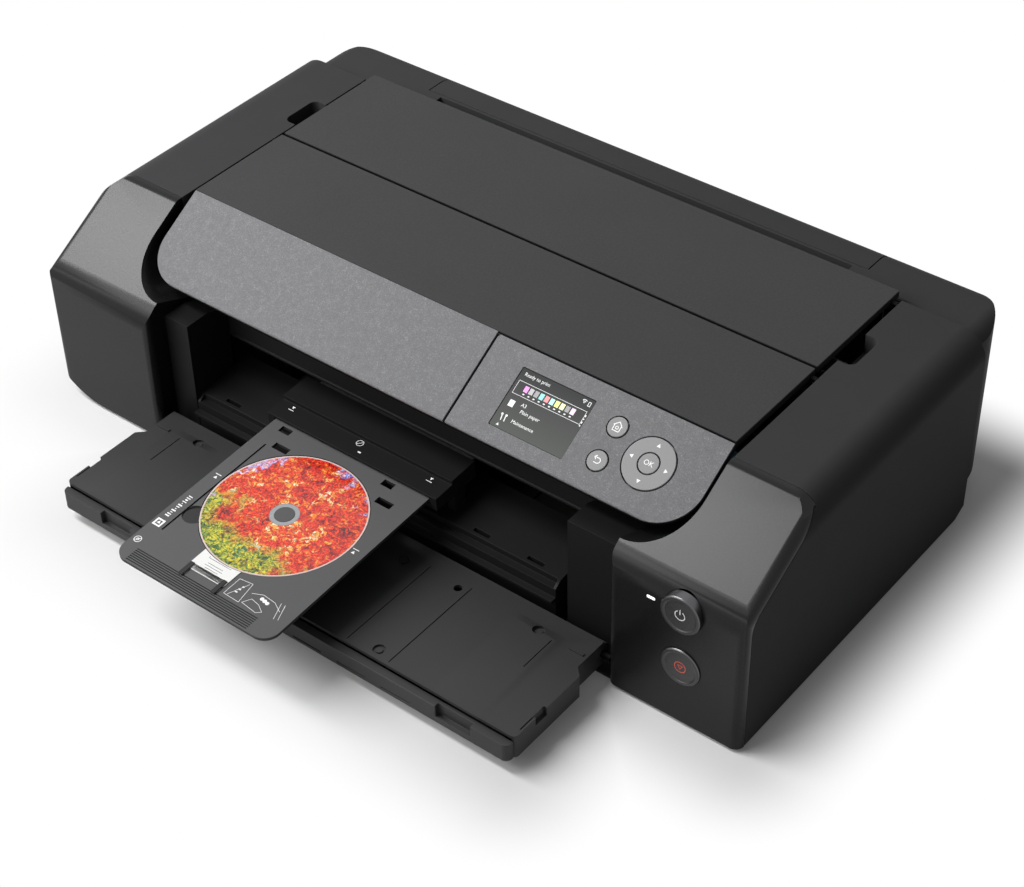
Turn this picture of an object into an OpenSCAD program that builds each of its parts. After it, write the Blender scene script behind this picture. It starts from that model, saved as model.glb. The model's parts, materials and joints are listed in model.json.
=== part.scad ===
// Wide desktop inkjet photo printer, shown with its output tray down and a disc tray loaded.
// Millimetres. X runs to the right, Y to the back, Z up from the table.
// Depths are measured from the front face of the covers, heights from the table.

/* [Body] */
// Width over the side covers
body_w = 639; // [630:1:660]
// Depth from the front face to the rear face
body_d = 357; // [354:1:372]
// Height of the side covers above the table
side_h = 166; // [164:1:172]
// Height of the feet
foot_h = 3; // [2.5:0.5:5]
// Wall of the outer covers
wall = 2.5; // [2:0.1:3]
// Gap at the seams between the fixed covers
seam = 0.6; // [0.3:0.1:1]
// Angle of the sloping front, degrees
slope = 31; // [29:0.5:33]
// Depth at which the slope of the covers reaches the top
shoulder_y = 79.5; // [76:0.5:84]
// Radius from the front face into the slope
nose_r = 24; // [14:1:30]
// Radius from the slope into the top
crest_r = 10; // [8:1:14]
// Radius along the top outer edges
edge_r = 22; // [12:1:26]
// Radius along the outer edges of the slope
slope_edge_r = 8; // [6:0.5:12]
// Radius of the upright front edges
front_r = 7; // [4:0.5:9]
// Width of the front cover's return on the side
return_w = 7; // [5:0.5:7.5]
// Depth at which the side covers end
side_end = 297; // [295:1:299]
// Width of the rounded lower left corner
belly_w = 42; // [20:1:46]
// Height of the rounded lower left corner
belly_h = 16; // [8:1:20]

/* [Mouth] */
// Width of the front mouth between the covers
mouth_w = 423.4; // [420:0.2:428]
// Angle of the scoop under the lid's corners, degrees
scoop = 22; // [16:1:26]
// Drop of the scoop's edge at the mouth below the covers' top
scoop_drop = 38; // [35:0.5:40]
// Depth of the scoop's edge at the mouth
scoop_y = 8.4; // [6:0.2:11]
// Radius of the scoop's corner
scoop_r = 38; // [30:1:44]

/* [Lid] */
// Width of the lid
lid_w = 490; // [480:1:492]
// Gap between the lid and the side covers
lid_gap = 5; // [4:0.5:6]
// Height of the lid above the side covers
lid_rise = 3.4; // [2:0.2:5]
// Depth of the lid's lower front edge
lid_front = 31; // [28:0.5:36]
// Depth of the fold between the lid's slope and its top
lid_fold = 95.5; // [92:0.5:98]
// Depth of the rear edge of the top cover
lid_back = 191.3; // [188:0.1:194]
// Gap between the top cover and the rear tray cover
lid_seam = 2.7; // [2.4:0.1:3.5]
// Depth of the rear edge of the rear tray cover
tray_cover_back = 302; // [300:0.5:303]
// Plate of the lid
lid_t = 3; // [2.5:0.1:3.2]
// Depth of the lid's rim
rim_h = 6; // [5.5:0.1:7]
// Radius of the lid's lower corners
lid_r = 33; // [26:1:38]
// Thickness of the silver panels
panel_t = 2; // [1.6:0.1:2.2]
// Width of the operation panel
panel_w = 197; // [189:0.5:205]
// Gap between the two silver panels
panel_seam = 1.8; // [1:0.1:2.4]
// Radius of the cover hinge pins
pin_r = 2; // [1.6:0.1:2.2]
// Running clearance of pins and shafts
run = 0.05; // [0.02:0.01:0.09]
// Radius of the hinge ears
ear_r = 5; // [4.5:0.1:5]

/* [Controls] */
// Screen width
screen_w = 61.6; // [56:0.2:64]
// Screen height along the slope
screen_d = 45.8; // [40:0.2:48]
// Gap round the screen
screen_gap = 0.45; // [0.2:0.05:0.7]
// Distance of the screen's centre from the lid's right edge
screen_in = 134.5; // [131:0.5:141]
// Place of the controls' centre line below the fold
control_u = 39; // [37:0.5:41]
// Distance of the home and back buttons from the lid's right edge
menu_in = 79.6; // [77:0.2:83]
// Spacing of the home and back buttons
menu_gap = 26.7; // [22:0.1:30]
// Radius of the home, back and OK buttons
menu_r = 8; // [7:0.1:8.5]
// Distance of the arrow ring from the lid's right edge
ring_in = 45.9; // [42:0.2:49]
// Outer radius of the arrow ring
ring_r = 19.6; // [17:0.1:20.5]
// Clearance round buttons and inserts
fit = 0.25; // [0.15:0.05:0.35]
// Gap round the lid's buttons
button_gap = 0.9; // [0.5:0.1:1.2]
// Travel of the lid's buttons
press = 0.8; // [0.5:0.1:0.9]
// Place of the power and stop buttons right of the front cover's middle
key_off = 6; // [0:0.2:10]
// Drop of the power button below the covers' top
power_drop = 62; // [58:0.5:68]
// Spacing of the power and stop buttons
key_gap = 49.4; // [44:0.2:54]
// Radius of the power and stop buttons
key_r = 15.4; // [13:0.1:17]
// Travel of the power and stop buttons
key_press = 1.5; // [1:0.1:1.8]
// Distance of the status lamp from the power button's middle
lamp_off = 25.2; // [22:0.2:30]

/* [Trays] */
// Gap between the output tray and the front covers
tray_gap = 1.7; // [1:0.1:4]
// Length of the output tray in front of the covers
tray_l = 105; // [90:1:120]
// Height of the output tray's surface
tray_z = 30; // [29:0.5:31]
// Thickness of the output tray
tray_t = 20; // [19:0.5:21]
// Height of the tray hinge
hinge_z = 20; // [19:0.5:21]
// Depth of the tray hinge
hinge_y = 6; // [5:0.5:7]
// Radius of the tray hinge pins
tray_pin_r = 3; // [2.5:0.1:3.5]
// Height of the paper path at the front face, on the disc tray's top
path_z = 69.3; // [68:0.1:71]
// Rise of the paper path towards the back, degrees
path_tilt = 3; // [2:0.1:3.5]
// Width of the disc tray
disc_tray_w = 146; // [138:1:150]
// Place of the disc tray's centre across the mouth
disc_x = -27; // [-32:0.5:-22]
// Length of the disc tray in front of the covers
disc_front = 153.4; // [140:0.2:160]
// Length of the disc tray behind the front face
disc_back = 75; // [66:1:80]
// Thickness of the disc tray
disc_tray_t = 2.6; // [2.4:0.1:3]
// Distance of the disc's centre in front of the covers
disc_y = 56; // [50:0.5:60]
// Diameter of the disc
disc_d = 120; // [118:1:121]
// Thickness of the disc
disc_t = 1.2; // [1:0.1:1.4]
// Diameter of the disc's hole
disc_hole = 15; // [14:0.1:16]

/* [Rear] */
// Width of the rear cover
rear_w = 622; // [610:1:630]
// Drop of the rear cover below the side covers
rear_drop = 8; // [6:0.5:10]
// Radius of the rear corners
rear_r = 45; // [40:1:48]
// Height of the rear cover's lower edge
rear_low = 17; // [16:0.5:20]
// Width of the manual feed cover's opening
feed_w = 414; // [400:1:420]
// Depth of the manual feed cover's front edge
feed_y = 324.5; // [321:0.5:328]
// Height of the manual feed opening's lower edge
feed_low = 66.8; // [64:0.2:70]

/* [Engine] */
// Distance of each frame plate from the side face
frame_in = 23.5; // [22:0.5:26]
// Thickness of the sheet metal
sheet = 1.5; // [1.2:0.1:1.8]
// Depth of the eject roller
eject_y = 90; // [88:0.5:92]
// Radius of the eject roller's rubber rings
eject_r = 6; // [5:0.1:6.5]
// Distance from the eject roller to the feed roller
roller_gap = 66; // [65.6:0.1:66.2]
// Radius of the feed roller
feed_r = 8; // [7:0.1:8.5]
// Radius of the roller journals
journal_r = 3; // [2.5:0.1:3.5]
// Gear module
gear_m = 1.5; // [1.5:0.1:1.5]
// Teeth of the feed and eject gears
roller_teeth = 28; // [28:1:28]
// Teeth of the idler gear
idler_teeth = 16; // [16:1:16]
// Teeth of the motor pinion
pinion_teeth = 14; // [14:1:14]
// Width of the gears
gear_w = 7; // [5:0.5:8]
// Width of the carriage
carriage_w = 120; // [118:1:124]
// Distance of the parked carriage's centre from the frame plate
park_in = 71; // [69:0.5:74]
// Number of ink tanks
tank_count = 10; // [6:1:12]
// Distance of the belt pulleys from the frame plates
pulley_in = 26; // [22:1:30]
// Radius of the belt pulleys
pulley_r = 8; // [7:0.1:8.5]

/* [Hidden] */
$fn = 48;
// Small overlap that keeps cuts clean
eps = 0.01;
// Reach of cutting shapes past the body
far = 400;

hw = body_w / 2;
mouth_x = mouth_w / 2;
lid_x = lid_w / 2;
well_x = lid_x + lid_gap;
lid_top = side_h + lid_rise;
scoop_z = side_h - scoop_drop;
panel_x = lid_x - panel_w;
screen_x = lid_x - screen_in;
menu_x = lid_x - menu_in;
ring_x = lid_x - ring_in;
key_x = (mouth_x + hw) / 2 + key_off;
power_z = side_h - power_drop;
stop_z = power_z - key_gap;
lamp_x = key_x - lamp_off;
lamp_z = power_z - 1.4;
rear_h = side_h - rear_drop;
frame_x = hw - frame_in;
park_x = frame_x - park_in;
pulley_x = frame_x - pulley_in;
slope_len = (lid_fold - lid_front) / cos(slope);
belly_r = (belly_w * belly_w + belly_h * belly_h) / (2 * belly_h);
rise_y = side_end - 12;
rise_rate = (rear_low - foot_h) / 26;
floor_z = foot_h + wall;
crest_y = shoulder_y + 5;
gap = 0.3;
cover_front = lid_back + lid_seam;
lid_pin_y = lid_back - ear_r;
lid_pin_z = lid_top - ear_r;
rear_pin_y = side_end - ear_r;
feed_pin_y = body_d - 4.5;
feed_pin_z = feed_low + 6.7;
feed_ear_r = 4;

tray_x = mouth_x - tray_gap;
tray_low = tray_z - tray_t;
disc_x0 = disc_x - disc_tray_w / 2;
disc_x1 = disc_x + disc_tray_w / 2;
mid_y = (body_d - disc_front * cos(path_tilt)) / 2;

feed_roller_y = eject_y + roller_gap;
eject_z = path_low(eject_y) - gap - eject_r;
feed_z = path_low(feed_roller_y) - gap - feed_r;
gear_r = gear_m * roller_teeth / 2;
idler_r = gear_m * idler_teeth / 2;
pinion_r = gear_m * pinion_teeth / 2;
mesh_slack = 0.15;
idler_reach = gear_r + idler_r + mesh_slack;
pinion_reach = gear_r + pinion_r + mesh_slack;
roller_dist = norm([roller_gap, feed_z - eject_z]);
roller_turn = atan2(eject_z - feed_z, -roller_gap);
idler_turn = roller_turn + acos(roller_dist / 2 / idler_reach);
idler_y = feed_roller_y + idler_reach * cos(idler_turn);
idler_z = feed_z + idler_reach * sin(idler_turn);
idler_to_eject = atan2(eject_z - idler_z, eject_y - idler_y);
pinion_turn = -60;
pinion_y = feed_roller_y + pinion_reach * cos(pinion_turn);
pinion_z = feed_z + pinion_reach * sin(pinion_turn);
gear_x = -frame_x - sheet - 2.5 - gear_w;

rail_y = 194;
rail_low = 90;
rail_high = side_h - 20;
rail_front = 166;
belt_y = rail_y - 4 - pulley_r;
belt_z = 100;
belt_h = 5;
belt_t = 1.2;
motor_r = 17;
motor_shaft_r = 1.5;
carriage_front = 97;
carriage_back = 150;
carriage_low = 84;
carriage_top = side_h - 38;
tank_top = side_h - 26;
strip_y = 161;
strip_low = side_h - 50;
strip_h = 8;
strip_t = 0.4;
frame_top = side_h - 14;
head_low = 79;
pick_y = 228;
pick_z = side_h - 33;
pick_r = 12;
hopper_low = [206, side_h - 68];
hopper_high = [284, side_h - 17];
hopper_turn = atan2(hopper_high[1] - hopper_low[1], hopper_high[0] - hopper_low[0]);
hopper_len = norm(hopper_high - hopper_low);
hopper_w = 340;
support_w = 220;
support_t = 2;
support_z = lid_top - 12.4;
runner_low = support_z - 1.6;

// Height of the disc tray's top and underside at a depth
function path_top(y) = path_z + y * tan(path_tilt);
function path_low(y) = path_top(y) - disc_tray_t / cos(path_tilt);
function unit(v) = v / norm(v);
// A point on the lid's slope: u runs up the slope from the fold, d stands out of it
function on_lid(u, d) =
  [lid_fold + u * cos(slope) - d * sin(slope), lid_top + u * sin(slope) + d * cos(slope)];

// Helpers

// The piece between a corner and the arc that rounds it
module corner_wedge(a, p, b, r) {
  u = unit(a - p);
  v = unit(b - p);
  m = unit(u + v);
  half = acos(u * v) / 2;
  t = r / tan(half);
  c = p + m * r / sin(half);
  difference() {
    polygon([p + u * t, c, p + v * t, p - m]);
    translate(c) circle(r);
  }
}

// A polygon with rounded corners, a radius for each point
module rounded(points, radii) {
  n = len(points);
  difference() {
    polygon(points);
    for (i = [0 : n - 1])
      if (radii[i] > 0)
        corner_wedge(points[(i + n - 1) % n], points[i], points[(i + 1) % n], radii[i]);
  }
}

// A rectangle from corner to corner with one corner radius
module round_box(a, b, r) {
  rounded([a, [b[0], a[1]], b, [a[0], b[1]]], [r, r, r, r]);
}

// A block from corner to corner
module span(a, b) {
  translate(a) cube(b - a);
}

// A side outline, drawn as depth and height, carried across the width
module across(x0, x1) {
  translate([x0, 0, 0]) rotate([90, 0, 90]) linear_extrude(x1 - x0) children();
}

// A front outline, drawn as width and height, carried along the depth
module along(y0, y1) {
  translate([0, y1, 0]) rotate([90, 0, 0]) linear_extrude(y1 - y0) children();
}

// A cylinder along X between two places
module rod(x0, x1, y, z, r) {
  across(x0, x1) translate([y, z]) circle(r);
}

// Puts a shape at both sides of the middle plane
module both_sides() {
  children();
  mirror([1, 0, 0]) children();
}

// Moves the printer so that the origin lies under the middle of its footprint
module placed() {
  translate([0, -mid_y, 0]) children();
}

// The lid's slope as a working plane: X across, Y up the slope, Z out of it
module on_slope() {
  translate([0, lid_fold, lid_top]) rotate([slope, 0, 0]) children();
}

// The paper path as a working plane: Z = 0 is the disc tray's top
module on_path() {
  translate([0, 0, path_z]) rotate([path_tilt, 0, 0]) children();
}

// Outer covers

// Side outline of the front and side covers, drawn in by i
module side_outline(i) {
  rounded([
    [i, foot_h - i],
    [rise_y, foot_h - i],
    [side_end - i, foot_h - i + (side_end - rise_y) * rise_rate],
    [side_end - i, side_h - i],
    [shoulder_y + i * tan(slope / 2), side_h - i],
    [i, side_h - i / cos(slope) - (shoulder_y - i) * tan(slope)]
  ], [0, 0, 0, 0, crest_r - i, nose_r - i]);
}

// Front outline of the same covers, with the rounded lower corner on the right if belly is set
module front_outline(i, belly) {
  difference() {
    rounded([[-hw + i, foot_h - i], [hw - i, foot_h - i], [hw - i, side_h - i], [-hw + i, side_h - i]],
            [0, 0, edge_r - i, edge_r - i]);
    if (belly)
      difference() {
        translate([hw - belly_w, foot_h - 2 * wall - 1]) square([belly_w + 1, belly_h + 2 * wall + 1]);
        translate([hw - belly_w, foot_h + belly_r]) circle(belly_r - i);
      }
  }
}

// Solid of the right side of the case, drawn in by i
module side_solid(i, belly) {
  intersection() {
    across(-hw, hw) side_outline(i);
    along(-1, body_d) front_outline(i, belly);
    translate([0, shoulder_y, side_h]) rotate([slope, 0, 0]) along(-far / 2, far)
      rounded([[-hw + i, -far], [hw - i, -far], [hw - i, -i], [-hw + i, -i]],
              [0, 0, slope_edge_r - i, slope_edge_r - i]);
  }
}

// Solid of the right front cover, drawn in by i
module pod_solid(i, belly) {
  intersection() {
    side_solid(i, belly);
    linear_extrude(side_h + 1)
      rounded([[mouth_x + i, i], [hw - i, i], [hw - i, side_end], [mouth_x + i, side_end]],
              [front_r - i, front_r - i, 0, 0]);
  }
}

// The scoop that clears the lid, widened by i
module scoop_cut(i) {
  translate([0, scoop_y, scoop_z]) rotate([-scoop, 0, 0]) along(-60, 160)
    rounded([[-well_x - i, -i], [well_x + i, -i], [well_x + i, far / 2], [-well_x - i, far / 2]],
            [scoop_r + i, scoop_r + i, 0, 0]);
}

// What lies behind the front cover's seam
module behind_front_cover(i) {
  translate([0, crest_y - i, 0]) cube([far, far, far]);
  across(mouth_x + wall + 6, far) side_outline(return_w - i);
}

module front_cover(belly) {
  difference() {
    union() {
      difference() {
        pod_solid(0, belly);
        pod_solid(wall, belly);
        scoop_cut(0);
      }
      intersection() {
        pod_solid(0, belly);
        difference() {
          scoop_cut(wall);
          scoop_cut(0);
        }
        span([0, -1, scoop_z - 60], [far, crest_y, far]);
      }
    }
    difference() {
      behind_front_cover(0);
      span([0, 0, 0], [well_x + wall, crest_y - eps, far]);
    }
    span([0, wall, -1], [mouth_x + wall + front_r, far, floor_z + gap]);
    span([0, holder_bar_y - gap, holder_low - gap], [well_x + wall, holder_back + gap, holder_top + gap]);
  }
}

module left_front_cover() {
  color("#2a2a2b") mirror([1, 0, 0]) front_cover(true);
}

module right_front_cover() {
  color("#2a2a2b") difference() {
    union() {
      front_cover(false);
      for (dx = [-key_r - 4, key_r + 4])
        translate([key_x + dx, wall - eps, (power_z + stop_z) / 2]) rotate([-90, 0, 0])
          cylinder(h = key_board_y - wall + eps, r = 3);
    }
    for (z = [power_z, stop_z])
      translate([key_x, -1, z]) rotate([-90, 0, 0]) cylinder(h = key_board_y - 1, r = key_r + fit);
    along(-1, wall + 1) lamp_outline(0.05);
  }
}

// Depth of the key board's face behind the front
key_board_y = 13;

module side_cover(belly) {
  notch_y0 = 212;
  notch_y1 = 248;
  notch_x = well_x + 12;
  well_h = 14;
  difference() {
    union() {
      difference() {
        side_solid(0, belly);
        side_solid(wall, belly);
        span([-far, -1, -1], [well_x, far, far]);
      }
      span([well_x, crest_y + seam, side_h - well_h], [well_x + wall, side_end, side_h]);
      span([well_x, notch_y0 - wall, side_h - 18], [notch_x + wall, notch_y1 + wall, side_h]);
    }
    difference() {
      translate([0, -1, -1]) cube([far, crest_y + seam + 1, far]);
      across(0, far) side_outline(return_w + seam);
    }
    span([well_x - 1, side_end - wall - 1, -1], [rear_w / 2 - 14, side_end + 1, side_h - 26]);
    span([well_x - 1, side_end - wall - 1, -1], [rear_w / 2 - wall, side_end + 1, rear_low + wall + gap]);
    translate([0, 0, side_h - 18 + wall]) linear_extrude(far)
      rounded([[well_x - 20, notch_y0], [notch_x, notch_y0], [notch_x, notch_y1], [well_x - 20, notch_y1]],
              [0, 6, 6, 0]);
  }
}

module left_side_cover() {
  color("#1e1e1f") mirror([1, 0, 0]) side_cover(true);
}

module right_side_cover() {
  color("#1e1e1f") side_cover(false);
}

// Solid of the rear of the case, drawn in by i
module rear_solid(i) {
  rx = rear_w / 2 - i;
  y0 = side_end + seam - (i > 0 ? 1 : 0);
  intersection() {
    linear_extrude(far)
      rounded([[-rx, y0], [rx, y0], [rx, body_d - i], [-rx, body_d - i]], [0, 0, rear_r - i, rear_r - i]);
    across(-far, far)
      rounded([[y0 - 1, rear_low - i], [body_d + 3 - i, rear_low - i], [body_d + 3 - i, rear_h - i],
               [y0 - 1, rear_h - i]], [0, 0, 20 - i, 0]);
    along(y0 - 1, body_d + 9)
      rounded([[-rx - 2, rear_low - 9], [rx + 2, rear_low - 9], [rx + 2, rear_h - i], [-rx - 2, rear_h - i]],
              [0, 0, 16 - i, 16 - i]);
  }
}

groove_x0 = -192;
groove_x1 = 195;
groove_z = rear_h - 12;
inlet_x = -rear_w / 2 + 63;
inlet_z = 36;
socket_x = rear_w / 2 - 111;
socket_z = 33;
board_x0 = rear_w / 2 - 167;
board_x1 = rear_w / 2 - 33;

module rear_cover() {
  color("#1b1b1c") difference() {
    union() {
      difference() {
        rear_solid(0);
        rear_solid(wall);
      }
      span([groove_x0 - wall, side_end + 3, groove_z - wall], [groove_x1 + wall, feed_y, rear_h]);
      both_sides() span([feed_w / 2, body_d - 14, feed_low - 2], [feed_w / 2 + 6, body_d - 1, feed_low + 13]);
    }
    span([-lid_x - 4, side_end - 1, groove_z + 4], [lid_x + 4, tray_cover_back + 2.5, far]);
    span([groove_x0, side_end, groove_z], [groove_x1, feed_y - wall, far]);
    span([-feed_w / 2, feed_y, feed_low], [feed_w / 2, far, far]);
    both_sides() rod(feed_w / 2 - 1, feed_w / 2 + 5, feed_pin_y, feed_pin_z, pin_r);
    along(body_d - 6, body_d + 1) inlet_outline(0);
    along(body_d - 6, body_d + 1) socket_outlines(0.3);
  }
}

module manual_feed_cover() {
  color("#232324") difference() {
    union() {
      intersection() {
        difference() {
          rear_solid(0);
          rear_solid(wall);
        }
        span([-feed_w / 2 + seam, feed_y + seam, feed_pin_z - 3.5], [feed_w / 2 - seam, far, far]);
      }
      both_sides() across(feed_w / 2 - seam - 3, feed_w / 2 - seam) {
        translate([feed_pin_y, feed_pin_z]) circle(feed_ear_r);
        polygon([
          [feed_pin_y - feed_ear_r, feed_pin_z], [body_d - 1, feed_pin_z], [body_d - 1, feed_pin_z + 24]
        ]);
      }
      span([-30, body_d - wall - 4, rear_h - 18.5], [30, body_d - wall + eps, rear_h - 15.5]);
    }
    both_sides() rod(feed_w / 2 - 5, feed_w / 2, feed_pin_y, feed_pin_z, pin_r + run);
  }
}

// Pins that carry the top cover, the rear tray cover, the manual feed cover and the output tray
module hinge_pins() {
  color("#8d8f92") both_sides() {
    rod(lid_x - lid_t - 1.5, well_x, lid_pin_y, lid_pin_z, pin_r);
    rod(lid_x - lid_t - 1.5, well_x, rear_pin_y, lid_pin_z, pin_r);
    rod(feed_w / 2 - 4, feed_w / 2 + 5, feed_pin_y, feed_pin_z, pin_r);
    rod(tray_x - 12, mouth_x, hinge_y, hinge_z, tray_pin_r);
  }
}

// Base

module base_case() {
  i = wall + 0.5;
  color("#161617") difference() {
    union() {
      intersection() {
        across(-hw + i, hw - i) polygon([
          [i, foot_h], [rise_y, foot_h], [rise_y + 26, rear_low], [body_d - i, rear_low],
          [body_d - i, rear_low + wall], [rise_y + 25, rear_low + wall], [rise_y - 1, floor_z], [i, floor_z]
        ]);
        base_plan(i);
        mirror([1, 0, 0]) along(-1, body_d) front_outline(i, true);
      }
      intersection() {
        difference() {
          base_plan(i);
          base_plan(i + 2);
        }
        span([-hw, i, foot_h], [hw, side_end - 14, floor_z + 8]);
        mirror([1, 0, 0]) along(-1, body_d) front_outline(i, true);
      }
      for (x = [board_x0 + 6, board_x1 - 6], y = [body_d - 40, body_d - 18])
        translate([x, y, rear_low + wall - eps]) cylinder(h = board_z - rear_low - wall + eps, r = 3);
    }
    for (p = screw_places)
      translate([p[0], p[1], 0]) cylinder(h = far, r = screw_r + run);
    span([-mouth_x - wall - front_r, 0, floor_z], [mouth_x + wall + front_r, i + 3, far]);
  }
}

board_z = 25;
screw_r = 1.5;
foot_in = 57.5;
screw_places = [for (x = [-230, 0, 230], y = [24, 240]) [x, y]];

// Plan of the base, drawn in by i
module base_plan(i) {
  linear_extrude(far)
    rounded([[-hw + i, i], [hw - i, i], [hw - i, side_end - 6], [rear_w / 2 - i, side_end - 5],
             [rear_w / 2 - i, body_d - i], [-rear_w / 2 + i, body_d - i], [-rear_w / 2 + i, side_end - 5],
             [-hw + i, side_end - 6]],
            [front_r, front_r, 0, 0, rear_r - i, rear_r - i, 0, 0]);
}

module rubber_feet() {
  color("#0f0f10") for (x = [-hw + foot_in, hw - foot_in], y = [40, 268])
    translate([x, y, 0]) rotate_extrude()
      rounded([[0, 0], [9, 0], [9, foot_h], [0, foot_h]], [0, 1, 0, 0]);
}

module case_screws() {
  color("#6f7174") for (p = screw_places)
    translate([p[0], p[1], 0]) {
      translate([0, 0, foot_h - 1.6]) cylinder(h = 1.6, r = 3);
      translate([0, 0, foot_h - eps]) cylinder(h = wall - 0.1, r = screw_r);
    }
}

// Lid

// Outline of the lid's slope, drawn in by i
module slope_outline(x0, x1, i, top, r0, r1, r2 = 0) {
  rounded([[x0 + i, -slope_len + i], [x1 - i, -slope_len + i], [x1 - i, top], [x0 + i, top]],
          [r0 > 0 ? r0 - i : 0, r1 > 0 ? r1 - i : 0, 0, r2]);
}

module hinge_ear(y) {
  both_sides()
    rod(lid_x - lid_t, lid_x, y, lid_pin_z, ear_r - 0.3);
}

module ear_bores(y) {
  both_sides() rod(lid_x - lid_t - 1, lid_x + 1, y, lid_pin_z, pin_r + run);
}

button_places = [
  [menu_x, -control_u + menu_gap / 2, menu_r],
  [menu_x, -control_u - menu_gap / 2, menu_r],
  [ring_x, -control_u, ring_r]
];

module top_cover() {
  color("#3c3c3d") difference() {
    union() {
      on_slope() translate([0, 0, -rim_h]) linear_extrude(rim_h - panel_t)
        slope_outline(-lid_x, lid_x, 0, 3, lid_r, lid_r);
      span([-lid_x, lid_fold, lid_top - rim_h], [lid_x, lid_back, lid_top]);
      hinge_ear(lid_pin_y);
    }
    on_slope() translate([0, 0, -rim_h - 1]) linear_extrude(1 + rim_h - panel_t - 2.5)
      slope_outline(-lid_x, lid_x, lid_t, 1.5, lid_r, lid_r);
    span([-lid_x + lid_t + 0.5, lid_fold + 1, lid_top - rim_h - 3],
         [lid_x - lid_t - 0.5, lid_back - lid_t, lid_top - lid_t]);
    ear_bores(lid_pin_y);
    on_slope() for (b = button_places)
      translate([b[0], b[1], -rim_h - 1]) cylinder(h = rim_h + 2, r = b[2] + fit);
  }
}

module silver_panel(x0, x1, top, r0, r1, r2 = 0) {
  intersection() {
    translate([0, 0, -panel_t]) linear_extrude(panel_t) slope_outline(x0, x1, 0, top, r0, r1, r2);
    across(x0, x1) rounded([[-slope_len, -panel_t], [top - panel_t * tan(slope), -panel_t], [top, 0],
                            [-slope_len, 0]], [0, 0, 0, 1.6]);
  }
}

module slope_panel() {
  color("#8f9092") on_slope() silver_panel(-lid_x, panel_x - panel_seam / 2, -0.4, lid_r, 0);
}

module operation_panel() {
  color("#8f9092") on_slope() difference() {
    silver_panel(panel_x + panel_seam / 2, lid_x, -panel_seam, 0, lid_r, 3);
    translate([0, 0, -panel_t - 1]) linear_extrude(panel_t + 2)
      round_box([screen_x - screen_w / 2 - screen_gap, -control_u - screen_d / 2 - screen_gap],
                [screen_x + screen_w / 2 + screen_gap, -control_u + screen_d / 2 + screen_gap], 1);
    for (b = button_places)
      translate([b[0], b[1], -panel_t - 1]) cylinder(h = panel_t + 2, r = b[2] + fit);
  }
}

module screen() {
  color("#1a1d1f") on_slope() translate([0, 0, -panel_t]) linear_extrude(panel_t - 0.1)
    round_box([screen_x - screen_w / 2, -control_u - screen_d / 2],
              [screen_x + screen_w / 2, -control_u + screen_d / 2], 0.7);
}

// Bottom of the lid's buttons and face of the board under them
button_low = -panel_t - 2;
board_face = button_low - press - 0.2;

module panel_board() {
  color("#2c5a3c") on_slope() {
    translate([0, 0, -rim_h - 1.6]) linear_extrude(1.6)
      round_box([menu_x - 20, -control_u - 28], [ring_x + 28, -control_u + 28], 2);
    for (p = [[menu_x, -control_u + menu_gap / 2], [menu_x, -control_u - menu_gap / 2], [ring_x, -control_u]])
      translate([p[0], p[1], -rim_h - eps]) cylinder(h = rim_h + board_face + eps, r = 3);
    for (a = [0 : 90 : 270])
      translate([ring_x + 14 * cos(a), -control_u + 14 * sin(a), -rim_h - eps])
        cylinder(h = rim_h + board_face + eps, r = 2);
    for (x = [menu_x - 16, ring_x + 24])
      translate([x, -control_u, -rim_h - eps]) cylinder(h = rim_h - panel_t - 2.5 + eps, r = 2.5);
  }
}

// A round button with a softened edge, standing on the board side
module lid_button(x, u, r) {
  on_slope() translate([x, u, button_low]) rotate_extrude()
    rounded([[0, 0], [r, 0], [r, -button_low + 0.5], [0, -button_low + 0.5]], [0, 0, 0.5, 0]);
}

// Radius of a button in a hole for radius r
function button_r(r) = r + fit - button_gap;

module home_button() {
  color("#9a9b9d") lid_button(menu_x, -control_u + menu_gap / 2, button_r(menu_r));
}

module back_button() {
  color("#9a9b9d") lid_button(menu_x, -control_u - menu_gap / 2, button_r(menu_r));
}

module ok_button() {
  color("#9a9b9d") lid_button(ring_x, -control_u, button_r(menu_r));
}

module arrow_ring() {
  r0 = menu_r + fit;
  r1 = button_r(ring_r);
  color("#a2a3a5") on_slope() translate([ring_x, -control_u, button_low]) rotate_extrude()
    rounded([[r0, 0], [r1, 0], [r1, -button_low + 0.4], [r0, -button_low + 0.4]], [0, 0, 0.5, 0.3]);
}

module rear_tray_cover() {
  runner_x = support_w / 2 + gap;
  color("#3a3a3b") difference() {
    union() {
      difference() {
        span([-lid_x, cover_front, lid_top - rim_h], [lid_x, tray_cover_back, lid_top]);
        span([-lid_x + lid_t, cover_front + lid_t, lid_top - rim_h - 1],
             [lid_x - lid_t, tray_cover_back - lid_t, lid_top - lid_t]);
        span([-runner_x - 4, cover_front - 1, lid_top - rim_h - 1],
             [runner_x + 4, cover_front + lid_t + 1, lid_top - lid_t - 1]);
      }
      hinge_ear(rear_pin_y);
      both_sides() across(runner_x, runner_x + 3)
        polygon([[cover_front + 8, lid_top - lid_t + eps], [cover_front + 8, runner_low],
                 [rear_pin_y - 8, runner_low], [rear_pin_y - 8, lid_top - lid_t + eps]]);
      both_sides() span([runner_x - 4, cover_front + 8, runner_low],
                        [runner_x + eps, rear_pin_y - 8, support_z - gap]);
    }
    ear_bores(rear_pin_y);
  }
}

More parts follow.
